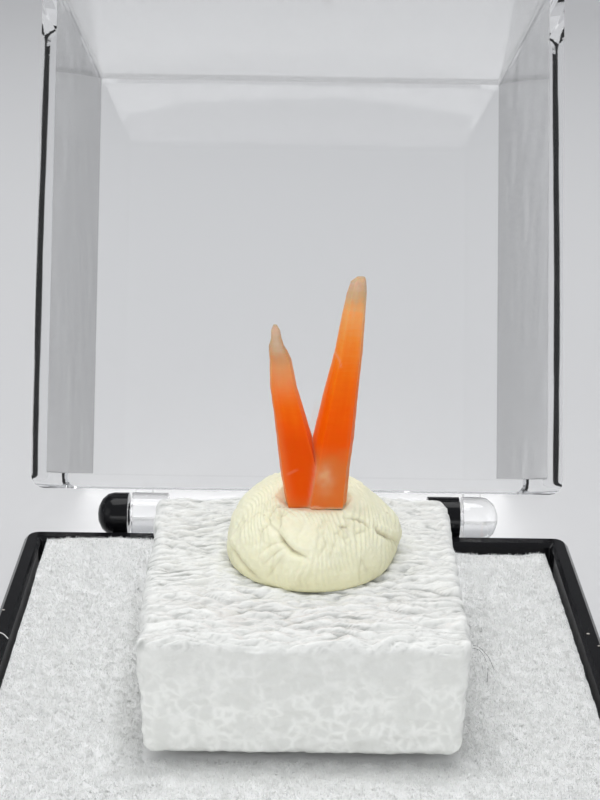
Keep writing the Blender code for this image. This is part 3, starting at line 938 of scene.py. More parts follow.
@dataclass
class FoamBlock:
    """The cut foam block under the putty: a wrinkled skin on top and torn cells at its cut sides."""

    rounding: float = 0.50 * MM
    cell_across: float = 0.16 * MM
    cell_along: float = 0.075 * MM
    cell_up: float = 0.12 * MM
    front_narrowing: float = 0.02
    base_narrowing: float = 0.035
    wrinkle_depth: float = 0.47 * MM
    wrinkle_spacing: float = 0.36 * MM
    cell_depth: float = 0.06 * MM
    cell_size: float = FOAM_CELL
    dent_centre: Vector = placed_at(0.5, 2.4, 0.0)
    dent_radius: float = 3.75 * MM
    dent_depth: float = 0.24 * MM
    unevenness: float = 0.12 * MM
    torn_waviness: float = 0.12 * MM
    torn_roughness: float = 0.11 * MM
    side_start: float = 0.93
    width: float = 15.45 * MM
    depth: float = 15.7 * MM
    height: float = 5.9 * MM
    centre: Vector = placed_at(0.24, 1.2, 0.0)

    def __post_init__(self) -> None:
        """Reads the block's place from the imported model."""
        low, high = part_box("foam_block")
        self.half = Vector((self.width / 2, self.depth / 2, self.height / 2))
        self.centre.z = low.z + self.half.z
        self.top = high.z

    def ridges(self, place: Vector) -> tuple[float, float]:
        """Returns how far a place is from the nearest long valley and the nearest fine one."""
        warp = soft_noise(place, 2.6) * 0.65 * MM + soft_noise(place, 0.8) * 0.15 * MM
        x, y = place.x, place.y + warp
        long_ridge = noise.noise(Vector((x / (2.2 * MM), y / self.wrinkle_spacing, 3.7)))
        fine_ridge = noise.noise(Vector((x / (0.9 * MM), y / (0.21 * MM), 8.1)))
        return abs(long_ridge), abs(fine_ridge)

    def wrinkles(self, place: Vector) -> float:
        """Returns the skin's relief at a place, from about 0 to 1: puffy ridges from left to right."""
        long_ridge, fine_ridge = self.ridges(place)
        pits = soft_noise(Vector((place.x, place.y, 0.0)), 0.35)
        return 0.95 * long_ridge ** 0.65 + 0.38 * fine_ridge ** 0.8 + 0.12 * pits

    def valley_shade(self, place: Vector) -> float:
        """Returns how much painted shade darkens the skin at a place, deep in one of its valleys."""
        flat = Vector((place.x, place.y, self.top))
        long_ridge, fine_ridge = self.ridges(flat)
        patch = smooth_step(-0.30, 0.25, soft_noise(flat, 1.6))
        deep = (1.0 - smooth_step(0.0, 0.17, long_ridge)) * patch
        fine = 0.40 * (1.0 - smooth_step(0.0, 0.10, fine_ridge))
        return clamped(max(deep, fine) * smooth_step(self.top - 0.9 * MM, self.top - 0.35 * MM, place.z))

    def torn_cells(self, place: Vector) -> float:
        """Returns the cut sides' relief at a place, from 0 in the middle of a cell to 1 on its wall."""
        distances = noise.voronoi(place / self.cell_size)[0]
        return 1.0 - smooth_step(0.0, 0.35, distances[1] - distances[0])

    def placed(self, share: Vector) -> Vector:
        """Puts a point of a cube on the block.

        Args:
            share: The point, each part from -1 to 1.

        Returns:
            The point on the block's skin.
        """
        flat = Vector(share[axis] * self.half[axis] for axis in range(3))
        core = Vector(clamped(flat[axis], -self.half[axis] + self.rounding, self.half[axis] - self.rounding)
                      for axis in range(3))
        offset = flat - core
        point = core + offset.normalized() * self.rounding if offset.length > self.rounding else flat
        narrowing = (1.0 - self.front_narrowing * (1.0 - share.y) / 2
                     - self.base_narrowing * (1.0 - share.z) / 2)
        point.x *= narrowing
        point.y *= 1.0 - self.base_narrowing / 2 * (1.0 - share.z) / 2
        up = max(share.z, 0.0)
        edge = max(abs(share.x), abs(share.y))
        side = smooth_step(self.side_start, 1.0, edge) * (1.0 - smooth_step(0.90, 1.0, share.z))
        world = point + self.centre
        wave = soft_noise(Vector((point.x * 0.5, point.y * 1.6, point.z)), 1.5)
        lumps = soft_noise(point, 3.1, (9.2, 4.7, 2.3))
        skin = smooth_step(0.6, 1.0, share.z)
        point.z += self.unevenness * (wave + lumps) * up
        point.z += self.wrinkle_depth * (self.wrinkles(world) - 0.35) * skin
        away = (world - self.dent_centre).to_2d().length
        point.z -= self.dent_depth * skin * (1.0 - smooth_step(0.85, 1.15, away / self.dent_radius))
        if edge > self.side_start:
            outward = Vector((share.x, share.y, 0.0)).normalized()
            ragged = self.torn_waviness * soft_noise(point, 1.9, (1.7, 8.1, 6.4))
            ragged += self.torn_roughness * soft_noise(world, 0.45)
            point += outward * (ragged * smooth_step(self.side_start, 1.0, edge)
                                + self.cell_depth * (self.torn_cells(world) - 0.6) * side)
        return self.centre + point

    def build(self) -> None:
        """Makes the block from a cube of fine cells."""
        across = round(2 * self.half.x / self.cell_across)
        along = round(2 * self.half.y / self.cell_along)
        up = round(2 * self.half.z / self.cell_up)
        points, faces, shared = [], [], {}

        def corner(i: int, j: int, k: int) -> int:
            """Returns the number of the one vertex at a corner of the cube's lattice."""
            if (i, j, k) not in shared:
                shared[(i, j, k)] = len(points)
                points.append(self.placed(Vector((2 * i / across - 1, 2 * j / along - 1, 2 * k / up - 1))))
            return shared[(i, j, k)]

        def cell(i: int, j: int, k: int, steps: tuple) -> None:
            """Adds the face of one cell, whose corners are steps of (i, j, k) from the first."""
            faces.append(tuple(corner(i + step[0], j + step[1], k + step[2]) for step in steps))

        level = ((0, 0, 0), (1, 0, 0), (1, 1, 0), (0, 1, 0))
        facing_y = ((0, 0, 0), (1, 0, 0), (1, 0, 1), (0, 0, 1))
        facing_x = ((0, 0, 0), (0, 1, 0), (0, 1, 1), (0, 0, 1))
        for i in range(across):
            for j in range(along):
                for k in (0, up):
                    cell(i, j, k, level)
        for k in range(up):
            for i in range(across):
                for j in (0, along):
                    cell(i, j, k, facing_y)
            for j in range(along):
                for i in (0, across):
                    cell(i, j, k, facing_x)
        mesh = mesh_of(points, faces)
        set_attribute(mesh, "cut_side", self._side_share)
        set_attribute(mesh, "valley_shade", self.valley_shade)
        block = new_object("foam_block_skin", mesh, CellFoam().make())
        hand_over(block, Body.BOX, Slot.WHITE_FOAM, "foam_block")

    def _side_share(self, place: Vector) -> float:
        """Returns 1 on the cut sides and 0 on the skin."""
        return 1.0 - smooth_step(self.top - 0.75 * MM, self.top - 0.30 * MM, place.z)


@dataclass(frozen=True)
class Prism:
    """One tapered six-sided crystal, through levels of (height, left edge, right edge) in millimetres."""

    levels: tuple
    middle: float
    depth_of_width: float = 0.72
    front_share: tuple[float, float] = (0.52, 0.80)
    back_share: tuple[float, float] = (0.66, 0.45)
    base_break: tuple = (0.02, -0.05, 0.04, 0.0, 0.06, -0.03)

    def edges_at(self, height: float) -> tuple[float, float]:
        """Returns the left and right edge at a height in millimetres, by straight runs between the levels."""
        for (low, left, right), (high, next_left, next_right) in zip(self.levels, self.levels[1:]):
            if height <= high:
                share = clamped((height - low) / (high - low))
                return left + (next_left - left) * share, right + (next_right - right) * share
        return self.levels[-1][1], self.levels[-1][2]

    def held_height(self, place: Vector) -> float:
        """Returns a place's height in millimetres, held between the crystal's base and its tip."""
        return clamped(place.z / MM, self.levels[0][0], self.levels[-1][0])

    def corners_at(self, height: float) -> list[Vector]:
        """Returns the section's six corners at a height.

        Args:
            height: The height in millimetres.

        Returns:
            The corners, counterclockwise from the left one, seen from above.
        """
        left, right = self.edges_at(height)
        centre = (left + right) / 2 * MM
        half_width = (right - left) / 2 * MM
        half_depth = (right - left) / 2 * self.depth_of_width * MM
        section = (
            (-half_width, 0.0),
            (-half_width * self.front_share[0], -half_depth),
            (half_width * self.front_share[1], -half_depth),
            (half_width, 0.0),
            (half_width * self.back_share[1], half_depth),
            (-half_width * self.back_share[0], half_depth),
        )
        return [Vector((centre + x, self.middle + y, height * MM)) for x, y in section]

    def contains(self, place: Vector) -> float:
        """Returns how far a place is inside the section at its own height, negative outside."""
        corners = self.corners_at(self.held_height(place))
        inside = math.inf
        for start, end in zip(corners, corners[1:] + corners[:1]):
            run = (end - start).to_2d().normalized()
            to_place = (place - start).to_2d()
            inside = min(inside, run.x * to_place.y - run.y * to_place.x)
        return inside

    def edge_distance(self, place: Vector) -> float:
        """Returns how far a place is from the nearer of the section's left and right corners."""
        corners = self.corners_at(self.held_height(place))
        return min((place - corners[side]).to_2d().length for side in (0, 3))

    def across(self, place: Vector) -> float:
        """Returns how far across the crystal a place is, from 0 at its left edge to 1 at its right."""
        left, right = self.edges_at(self.held_height(place))
        return clamped((place.x / MM - left) / (right - left))


RIGHT_PRISM = Prism((
    (17.0, 0.02, 2.25), (18.9, 0.33, 2.36), (20.5, 0.57, 2.52), (22.9, 1.06, 2.66), (24.7, 1.48, 2.80),
    (26.4, 1.76, 2.86), (27.6, 1.99, 2.90), (28.15, 2.15, 2.86), (28.35, 2.42, 2.80),
), 0.98 * MM)
LEFT_PRISM = Prism((
    (17.0, -0.68, 1.45), (18.7, -0.97, 1.05), (20.1, -1.13, 0.62), (21.5, -1.29, 0.20), (22.9, -1.49, -0.22),
    (24.3, -1.53, -0.52), (24.7, -1.57, -0.70), (24.95, -1.56, -0.87), (25.3, -1.46, -0.97),
    (25.7, -1.47, -1.06), (25.95, -1.37, -1.20),
), 1.12 * MM, front_share=(0.86, 0.80))


@dataclass
class TwinCrystal:
    """The two crystals, grown together at the base as one stone."""

    level_step: float = 0.07
    face_cells: int = 12
    step_depth: float = 0.018 * MM
    edge_width: float = 0.085 * MM
    facet_angle: float = math.radians(24)
    left_pale_height: float = 25.6
    left_fade: float = 4.6
    right_pale_height: float = 28.4
    right_fade: float = 6.6
    lip_height: float = 17.04
    lip_waviness: float = 0.10
    base_hollow: float = 0.05 * MM
    tip_rise: float = 0.015 * MM
    cloud_centre: Vector = placed_at(1.17, 0.2, 18.75)
    marks: tuple = (
        ((1.50, 24.70), (1.70, 24.50), 0.045),
        ((1.70, 24.50), (1.80, 24.15), 0.04),
        ((-0.62, 18.70), (-0.20, 18.93), 0.035),
    )

    def _loft(self, name: str, prism: Prism, seed: float) -> bpy.types.Object:
        """Makes one crystal with growth steps and striations.

        Args:
            name: The object's name.
            prism: The crystal's form.
            seed: Where the noise is read, so that no two crystals have the same steps.

        Returns:
            The crystal as a closed mesh.
        """
        heights = [prism.levels[0][0]]
        for low, high in zip(prism.levels, prism.levels[1:]):
            steps = max(1, round((high[0] - low[0]) / self.level_step))
            heights += [low[0] + (high[0] - low[0]) * (step + 1) / steps for step in range(steps)]
        points = []
        count = 6 * self.face_cells
        for number, height in enumerate(heights):
            corners = prism.corners_at(height)
            middle = sum(corners, Vector()) / 6
            for side in range(6):
                start, end = corners[side], corners[(side + 1) % 6]
                normal = (end - start).to_2d().orthogonal().normalized() * -1.0
                for cell in range(self.face_cells):
                    share = cell / self.face_cells
                    point = start.lerp(end, share)
                    flat = math.sin(share * math.pi)
                    step = noise.noise(Vector((seed + side * 3.1, 0.0, height / 0.42)))
                    fine = noise.noise(Vector((seed + side * 1.7, share * 1.4, height / 0.13)))
                    groove = noise.noise(Vector((seed + side * 5.3 + share * 6.0, height / 3.0, 1.0)))
                    relief = self.step_depth * (step + 0.4 * fine + 1.1 * groove * flat)
                    size = (point - middle).length
                    relief *= clamped(size / (0.25 * MM))
                    point = point + Vector((normal.x, normal.y, 0.0)) * relief
                    if number == 0:
                        here, there = prism.base_break[side], prism.base_break[(side + 1) % 6]
                        point.z += (here * (1 - share) + there * share) * MM
                    points.append(point)
        faces = ring_faces(len(heights), count)
        base_middle = len(points)
        points.append(sum(points[:count], Vector()) / count + Vector((0.0, 0.0, self.base_hollow)))
        last = (len(heights) - 1) * count
        tip_middle = len(points)
        points.append(sum(points[last:last + count], Vector()) / count + Vector((0.0, 0.0, self.tip_rise)))
        for step in range(count):
            after = (step + 1) % count
            faces.append((base_middle, after, step))
            faces.append((tip_middle, last + step, last + after))
        return new_object(name, mesh_of(points, faces))

    def build(self) -> None:
        """Makes the stone."""
        stone = self._loft("quartz_twin", RIGHT_PRISM, 3.0)
        smaller = self._loft("left_crystal", LEFT_PRISM, 11.0)
        union = stone.modifiers.new("grown together", "BOOLEAN")
        union.operation = "UNION"
        union.solver = "EXACT"
        union.object = smaller
        baked(stone)
        bpy.data.objects.remove(smaller, do_unlink=True)
        stone.data.shade_smooth()
        stone.data.set_sharp_from_angle(angle=self.facet_angle)
        for value_at in (self.tint, self.glass, self.upper_and_side_shade, self.depth, self.edge, self.cloud, self.core,
                         self.dust, self.streak):
            set_attribute(stone.data, value_at.__name__, value_at)
        stone.data.materials.clear()
        stone.data.materials.append(HematoidQuartz().make())
        hand_over(stone, Body.BOX, Slot.ORANGE_QUARTZ, "quartz_crystals")

    @staticmethod
    def on_left(place: Vector) -> bool:
        """Returns whether a place belongs to the left crystal."""
        return LEFT_PRISM.contains(place) > RIGHT_PRISM.contains(place)

    def tint(self, place: Vector) -> float:
        """Returns how deep the orange is at a place, from 0 at the pale tips to 1 in the full colour."""
        height = place.z / MM
        if self.on_left(place):
            return clamped((self.left_pale_height - height) / self.left_fade)
        return clamped((self.right_pale_height - height) / self.right_fade)

    def upper_and_side_shade(self, place: Vector) -> float:
        """Returns how much painted shade darkens a place: the left crystal's upper half and the right one's
        narrow side.
        """
        height = place.z / MM
        if self.on_left(place):
            return 0.45 * smooth_step(21.8, 24.2, height) - 0.30 * smooth_step(24.3, 25.1, height)
        narrow_side = smooth_step(0.80, 0.90, RIGHT_PRISM.across(place))
        return (0.03 + 0.33 * smooth_step(22.8, 25.5, height)) * narrow_side

    def depth(self, place: Vector) -> float:
        """Returns how much of the deepest orange shows at a place, low in both crystals."""
        height = place.z / MM
        if self.on_left(place):
            return smooth_step(21.6, 20.1, height)
        return 0.45 * smooth_step(21.8, 20.6, height)

    def glass(self, place: Vector) -> float:
        """Returns how glassy the stone is at a place."""
        height = place.z / MM
        if self.on_left(place):
            return 0.02 + 0.38 * smooth_step(23.8, 25.0, height)
        return 0.02 + 0.34 * smooth_step(26.6, 28.0, height)

    def edge(self, place: Vector) -> float:
        """Returns how much pale colour shows at a place: painted reflection along the left and right edges, a
        painted highlight along the seam between the crystals, a pale line along the base and pale scratches
        on the front.
        """
        prism = LEFT_PRISM if self.on_left(place) else RIGHT_PRISM
        height = place.z / MM
        # Painted reflection along the left and right edges, and a painted highlight along the seam.
        line = bell(prism.edge_distance(place), self.edge_width)
        both = min(LEFT_PRISM.contains(place), RIGHT_PRISM.contains(place))
        seam = bell(both, self.edge_width) * smooth_step(21.5, 19.5, height)
        across = Vector((place.x / (0.5 * MM), 0.0, 4.0))
        lip_height = self.lip_height + self.lip_waviness * noise.noise(across)
        lip = bell(height - lip_height, 0.06) * smooth_step(-0.1 * MM, 0.6 * MM, place.x)
        mark = self.mark(place) if place.y < prism.middle else 0.0
        return clamped(0.50 * line + 0.35 * seam + 0.9 * lip + 0.45 * mark)

    def mark(self, place: Vector) -> float:
        """Returns how much of the pale scratches on the stone's front shows at a place."""
        shown = 0.0
        spot = Vector((place.x / MM, place.z / MM))
        for start, end, width in self.marks:
            run = Vector(end) - Vector(start)
            share = clamped((spot - Vector(start)).dot(run) / run.length_squared)
            shown = max(shown, bell((spot - Vector(start) - run * share).length, width))
        return shown

    def core(self, place: Vector) -> float:
        """Returns 1 in the crystals' saturated middle and 0 on the side facets beside it, where painted light
        makes lighter bands.
        """
        if self.on_left(place):
            across = LEFT_PRISM.across(place)
            return smooth_step(0.04, 0.32, across) * (1.0 - 0.6 * smooth_step(0.82, 0.97, across))
        across = RIGHT_PRISM.across(place)
        ridge = bell(across - 0.84, 0.035)
        right_band = 1.0 - 0.6 * smooth_step(0.90, 0.99, across)
        return smooth_step(0.02, 0.14, across) * right_band * (1.0 - 0.35 * ridge)

    def dust(self, place: Vector) -> float:
        """Returns how dusty the orange is: most near the right crystal's base."""
        height = place.z / MM
        if self.on_left(place):
            return 0.45 * smooth_step(17.8, 17.0, height)
        return 0.9 * smooth_step(20.4, 19.2, height + 0.35 * soft_noise(place, 0.5))

    def streak(self, place: Vector) -> float:
        """Returns the streaks that run up each crystal, from 0 to 1."""
        left = self.on_left(place)
        across = (LEFT_PRISM if left else RIGHT_PRISM).across(place)
        shift = 7.0 if left else 0.0
        side = 2.0 if place.y > 1.0 * MM else 0.0
        wide = noise.noise(Vector((across * 6.0 + shift, place.z / (6.0 * MM), side)))
        narrow = noise.noise(Vector((across * 22.0 + shift, place.z / (3.0 * MM), side + 5.0)))
        return clamped(0.5 + 0.55 * wide + 0.40 * narrow)

    def cloud(self, place: Vector) -> float:
        """Returns how much of the pale cloud near the base of the right crystal shows at a place."""
        away = place - self.cloud_centre
        tall = 0.45 if away.z > 0.0 else 0.80
        patch = bell(Vector((away.x / 0.38, away.y / 2.0, away.z / tall)).length, 1.0 * MM)
        return clamped(patch * (0.85 + 0.8 * soft_noise(place, 0.35)))


@dataclass(frozen=True)
class Fold:
    """A fold pressed into the putty, in millimetres.

    The path's points are given roughly, and are moved onto the dome. The overlap is how much higher the
    skin stands on the left of the path than on its right, seen from outside.
    """

    path: tuple
    depth: float
    width: float
    overlap: float = 0.0

    def nearest(self, point: Vector, places: list[Vector], outward: Vector) -> Triple:
        """Finds a point's place beside the fold.

        Args:
            point: A point of the plain skin.
            places: The path's points on the plain skin.
            outward: The direction out of the dome.

        Returns:
            The distance in metres, 1 on the left of the path or -1 on its right, and the share of the path
            that lies before the nearest place.
        """
        best = (math.inf, 1.0, 0.0)
        for number, (start, end) in enumerate(zip(places, places[1:])):
            run = end - start
            share = clamped((point - start).dot(run) / run.length_squared)
            distance = (point - start - run * share).length
            if distance < best[0]:
                side = math.copysign(1.0, run.cross(point - start).dot(outward))
                best = (distance, side, (number + share) / (len(places) - 1))
        return best

    def relief(self, distance: float, side: float, along: float) -> float:
        """Returns the skin's relief beside the fold: a soft hollow with a sharp crease along it.

        Args:
            distance: The distance from the fold in metres.
            side: 1 on the left of the path and -1 on its right.
            along: The share of the path before this place.

        Returns:
            The relief in metres.
        """
        strength = min(1.0, 0.30 + 3.6 * along * (1.0 - along))
        width = self.width * MM
        hollow = 0.40 * self.depth * bell(distance, 2.2 * width)
        crease = 0.60 * self.depth * bell(distance, 0.55 * width)
        roll = 0.22 * self.depth * bell(distance - 3.2 * width, 1.8 * width)
        step = self.overlap * side * bell(distance, 4.0 * width) * smooth_step(0.0, 0.5 * width, distance)
        return strength * (roll + step - hollow - crease) * MM


@dataclass
class PuttyMound:
    """The dome of putty that the crystals are pressed into."""

    centre: Vector = placed_at(0.5, 2.4, 14.0)
    radius: float = 4.15 * MM
    height: float = 3.8 * MM
    bottom: float = 13.55 * MM
    bottom_tuck: float = 0.06
    sides: int = 380
    rings: int = 130
    lobe_centre: Vector = placed_at(4.7, 3.0, 14.8)
    lobe_size: float = 1.25 * MM
    lobe_rise: float = 0.5 * MM
    print_spacing: float = 0.25 * MM
    print_depth: float = 0.036 * MM
    crinkle_depth: float = 0.062 * MM
    swell: float = 0.16 * MM
    dents: float = 0.07 * MM
    roughness: float = 0.026 * MM
    pit_height: float = 16.86 * MM
    seat_height: float = 16.95 * MM
    seat_softness: float = 0.15 * MM
    seat_lip: float = 0.03 * MM
    back_rise: float = 1.6 * MM
    folds: tuple = (
        Fold(((-0.82, -0.66, 16.0), (-0.64, -0.91, 15.8), (-0.25, -1.17, 15.5), (0.32, -1.38, 15.3)),
             0.28, 0.09, 0.07),
        Fold(((-1.31, -0.12, 16.3), (-0.93, -0.52, 16.1), (-0.64, -0.91, 15.8)), 0.10, 0.09, 0.03),
        Fold(((-0.6, -1.05, 15.6), (-1.0, -1.05, 15.3), (-1.57, -1.02, 14.7)), 0.11, 0.08, 0.02),
        Fold(((-0.64, -0.91, 15.85), (-1.25, -0.8, 15.55), (-1.95, -0.75, 14.95)), 0.09, 0.08, 0.02),
        Fold(((-0.45, -1.15, 15.5), (-0.95, -1.35, 14.95), (-1.35, -1.5, 14.4), (-1.6, -1.5, 14.1)),
             0.08, 0.08, 0.02),
        Fold(((-0.85, 0.60, 16.95), (-1.20, 0.30, 16.7), (-1.40, 0.05, 16.5), (-1.31, -0.12, 16.3)),
             0.15, 0.09, 0.04),
        Fold(((-0.65, 0.25, 16.95), (-0.85, -0.1, 16.6), (-0.80, -0.35, 16.35), (-0.93, -0.52, 16.1)),
             0.13, 0.08, 0.04),
        Fold(((-1.31, -0.12, 16.3), (-1.7, -0.2, 15.9), (-1.75, -0.5, 15.5)), 0.10, 0.08),
        Fold(((-3.3, 0.95, 14.6), (-2.84, 0.13, 14.45), (-2.34, -0.53, 14.1), (-1.7, -1.0, 13.95)),
             0.16, 0.10, -0.03),
        Fold(((1.75, -0.40, 16.3), (2.2, -0.30, 16.25)), 0.10, 0.06),
        Fold(((2.07, 0.02, 16.55), (2.66, 0.28, 16.4), (3.05, 0.38, 16.15), (3.25, 0.33, 15.9)),
             0.15, 0.07, 0.04),
        Fold(((2.5, -0.35, 15.9), (2.85, -0.10, 15.95), (3.05, 0.1, 15.9)), 0.08, 0.06),
        Fold(((3.45, 0.72, 15.75), (3.71, 0.72, 15.6), (4.19, 1.25, 15.1), (4.6, 2.2, 14.3)),
             0.26, 0.09, 0.07),
    )
    specks: tuple = (((-0.95, 0.40, 16.95), 0.06), ((-0.75, 0.35, 17.0), 0.04), ((1.95, -0.36, 16.3), 0.05),
                     ((4.3, 2.2, 15.9), 0.05), ((-1.5, 0.4, 16.4), 0.04))

    def __post_init__(self) -> None:
        """Moves the folds' points onto the dome."""
        self.routes = [[self.on_skin(Vector(place) * MM) for place in fold.path] for fold in self.folds]

    def radius_towards(self, outward: Vector) -> float:
        """Returns the widest level's radius in a direction: a little more to the right and the front."""
        return self.radius * (1.0 + 0.02 * outward.x + 0.05 * max(-outward.y, 0.0))

    def on_skin(self, place: Vector) -> Vector:
        """Moves a place onto the dome's plain skin, straight towards or away from its middle."""
        offset = place - self.centre
        flat = Vector((offset.x, offset.y, 0.0))
        radius = self.radius_towards(flat.normalized())
        reach = math.hypot(flat.length / radius, offset.z / self.height)
        return self.centre + offset / reach

    def skin(self, azimuth: float, elevation: float) -> Vector:
        """Returns a point of the skin.

        Args:
            azimuth: The angle about the middle, from +X.
            elevation: The angle up from the widest level, negative below it.

        Returns:
            The point.
        """
        outward = Vector((math.cos(azimuth), math.sin(azimuth), 0.0))
        radius = self.radius_towards(outward)
        if elevation >= 0.0:
            spread = math.cos(elevation)
            rise = self.height * math.sin(elevation)
        else:
            spread = 1.0 - self.bottom_tuck * (1.0 - math.cos(elevation))
            rise = (self.centre.z - self.bottom) * math.sin(elevation)
        point = self.centre + outward * radius * spread + Vector((0.0, 0.0, rise))
        direction = Vector((outward.x * spread, outward.y * spread, math.sin(elevation))).normalized()
        lift = self.swell * soft_noise(point, 2.6, (3.9, 7.4, 1.8))
        lift += self.lobe_rise * bell((point - self.lobe_centre).length, self.lobe_size)
        for fold, route in zip(self.folds, self.routes):
            lift += fold.relief(*fold.nearest(point, route, direction))
        lift += self.dents * soft_noise(point, 0.8, (1.0, 6.0, 3.0))
        lift += self.roughness * soft_noise(point, 0.18)
        lift += self.print_depth * self._print(point) - self.crinkle_depth * self._crinkle(point)
        if elevation < 0.0:
            lift *= 1.0 + math.sin(elevation)
            direction = outward
        return self._pressed(point + direction * lift)

    def _print(self, point: Vector) -> float:
        """Returns the relief of the finger prints at a point, from -1 to 1: ridges that run up the dome."""
        warp = 0.9 * MM * soft_noise(point, 2.4, (8.0, 1.0, 2.0))
        phase = (point.x + 0.25 * (point.y - self.centre.y) + warp) / self.print_spacing * math.tau
        patch = smooth_step(-0.35, 0.15, soft_noise(point, 2.1, (5.0, 5.0, 1.0)))
        return math.sin(phase) * patch

    @staticmethod
    def _crinkle(point: Vector) -> float:
        """Returns how deep in one of the fine crinkles that run down the dome a point is, from 0 to 1."""
        bend = 0.5 * MM * soft_noise(point, 1.3, (2.0, 9.0, 4.0))
        vein = soft_noise(Vector((point.x + bend, point.y + bend, 0.35 * point.z)), 0.55)
        patch = smooth_step(-0.1, 0.35, soft_noise(point, 1.5, (7.0, 3.0, 6.0)))
        return bell(vein, 0.10) * patch

    def _pressed(self, point: Vector) -> Vector:
        """Presses a point of the skin down where the stone stands, with a small lip around it."""
        inside = max(LEFT_PRISM.contains(point), RIGHT_PRISM.contains(point))
        away = max(-inside, 0.0)
        slope = 0.25 + 0.40 * smooth_step(0.3 * MM, 1.0 * MM, point.y)
        cap = self.seat_height + slope * away + self.back_rise * smooth_step(1.2 * MM, 2.1 * MM, point.y)
        near = max(self.seat_softness - abs(point.z - cap), 0.0)
        height = min(point.z, cap) - near * near / (4.0 * self.seat_softness)
        height += self.seat_lip * bell(away - 0.1 * MM, 0.15 * MM)
        share = smooth_step(0.06 * MM, 0.16 * MM, inside)
        return Vector((point.x, point.y, height + (min(self.pit_height, height) - height) * share))

    def build(self) -> None:
        """Makes the dome from rings of points."""
        quarter = math.pi / 2
        elevations = [-quarter, -0.75 * quarter, -0.5 * quarter, -0.25 * quarter]
        elevations += [ring / self.rings * quarter for ring in range(self.rings)]
        points = []
        for elevation in elevations:
            points += [self.skin(side / self.sides * math.tau, elevation) for side in range(self.sides)]
        faces = ring_faces(len(elevations), self.sides)
        last = (len(elevations) - 1) * self.sides
        top = len(points)
        points.append(sum(points[last:last + self.sides], Vector()) / self.sides)
        bottom = len(points)
        points.append(Vector((self.centre.x, self.centre.y, self.bottom)))
        for side in range(self.sides):
            after = (side + 1) % self.sides
            faces.append((top, last + side, last + after))
            faces.append((bottom, after, side))
        mesh = mesh_of(points, faces)
        set_attribute(mesh, "foot", self.painted_foot_shade)
        set_attribute(mesh, "crease", self.crease_shade_and_specks)
        mound = new_object("putty_mound", mesh, Putty().make())
        hand_over(mound, Body.BOX, Slot.CREAM_PUTTY, "mineral_putty")

    def painted_foot_shade(self, place: Vector) -> float:
        """Returns how much of the painted shade towards the foot shows at a place."""
        return smooth_step(15.4 * MM, 13.7 * MM, place.z + 0.3 * MM * soft_noise(place, 0.9))

    def crease_shade_and_specks(self, place: Vector) -> float:
        """Returns how dark a place is: painted shade deep in a fold or a crinkle, or one of the small dark
        specks.
        """
        plain = self.on_skin(place)
        outward = plain - self.centre
        shown = 0.25 * self._crinkle(plain)
        for fold, route in zip(self.folds, self.routes):
            distance, _, along = fold.nearest(plain, route, outward)
            strength = min(1.0, 0.25 + 3.6 * along * (1.0 - along))
            shown += strength * min(1.0, fold.depth / 0.25) * bell(distance, 0.6 * fold.width * MM)
        for spot, size in self.specks:
            shown += 1.3 * bell((plain - self.on_skin(Vector(spot) * MM)).length, size * MM)
        return clamped(shown)


@dataclass
class StrayHairs:
    """The dark stray hairs and the white one that lie on the pile."""

    dark_radius: float = 0.011 * MM
    white_radius: float = 0.030 * MM
    dark_routes: tuple = (
        ((9.06, 2.85, 8.15), (9.25, 2.3, 8.4), (9.49, 1.66, 8.45), (9.7, 1.0, 8.4), (9.87, 0.51, 8.12)),
        ((9.52, 0.5, 8.2), (9.50, 0.1, 8.4), (9.44, -0.3, 8.38), (9.39, -0.64, 8.15)),
        ((9.00, 2.55, 8.15), (9.17, 2.15, 8.35), (9.38, 1.62, 8.4), (9.55, 1.15, 8.2)),
    )
    white_route: tuple = (
        (-15.45, 3.58, 8.10), (-15.31, 3.5, 8.16), (-15.05, 3.26, 8.18), (-14.84, 3.1, 8.05),
    )

    def build(self) -> None:
        """Makes the hairs as thin closed tubes."""
        dark = PlainSpeck("dark_hair", (0.16, 0.15, 0.16)).make()
        for number, route in enumerate(self.dark_routes, start=1):
            self._build_hair(f"stray_hair_{number}", route, self.dark_radius, dark)
        white = PlainSpeck("white_hair", (0.85, 0.85, 0.83)).make()
        self._build_hair("stray_white_fibre", self.white_route, self.white_radius, white)

    @staticmethod
    def _build_hair(name: str, route: tuple, radius: float, material: bpy.types.Material) -> None:
        """Makes one hair.

        Args:
            name: The piece's name.
            route: The points that it passes through, in millimetres.
            radius: Its radius.
            material: Its finish.
        """
        curve = bpy.data.curves.new(name, "CURVE")
        curve.dimensions = "3D"
        curve.bevel_depth = radius
        curve.bevel_resolution = 1
        curve.use_fill_caps = True
        curve.resolution_u = 6
        spline = curve.splines.new("BEZIER")
        spline.bezier_points.add(len(route) - 1)
        for bezier, place in zip(spline.bezier_points, route):
            bezier.co = Vector(place) * MM
            bezier.handle_left_type = "AUTO"
            bezier.handle_right_type = "AUTO"
        made = bpy.data.objects.new(f"{name}_curve", curve)
        bpy.context.scene.collection.objects.link(made)
        graph = bpy.context.evaluated_depsgraph_get()
        mesh = bpy.data.meshes.new_from_object(made.evaluated_get(graph))
        bpy.data.objects.remove(made, do_unlink=True)
        hand_over(new_object(name, mesh, material), Body.BOX, Slot.WHITE_PILE)


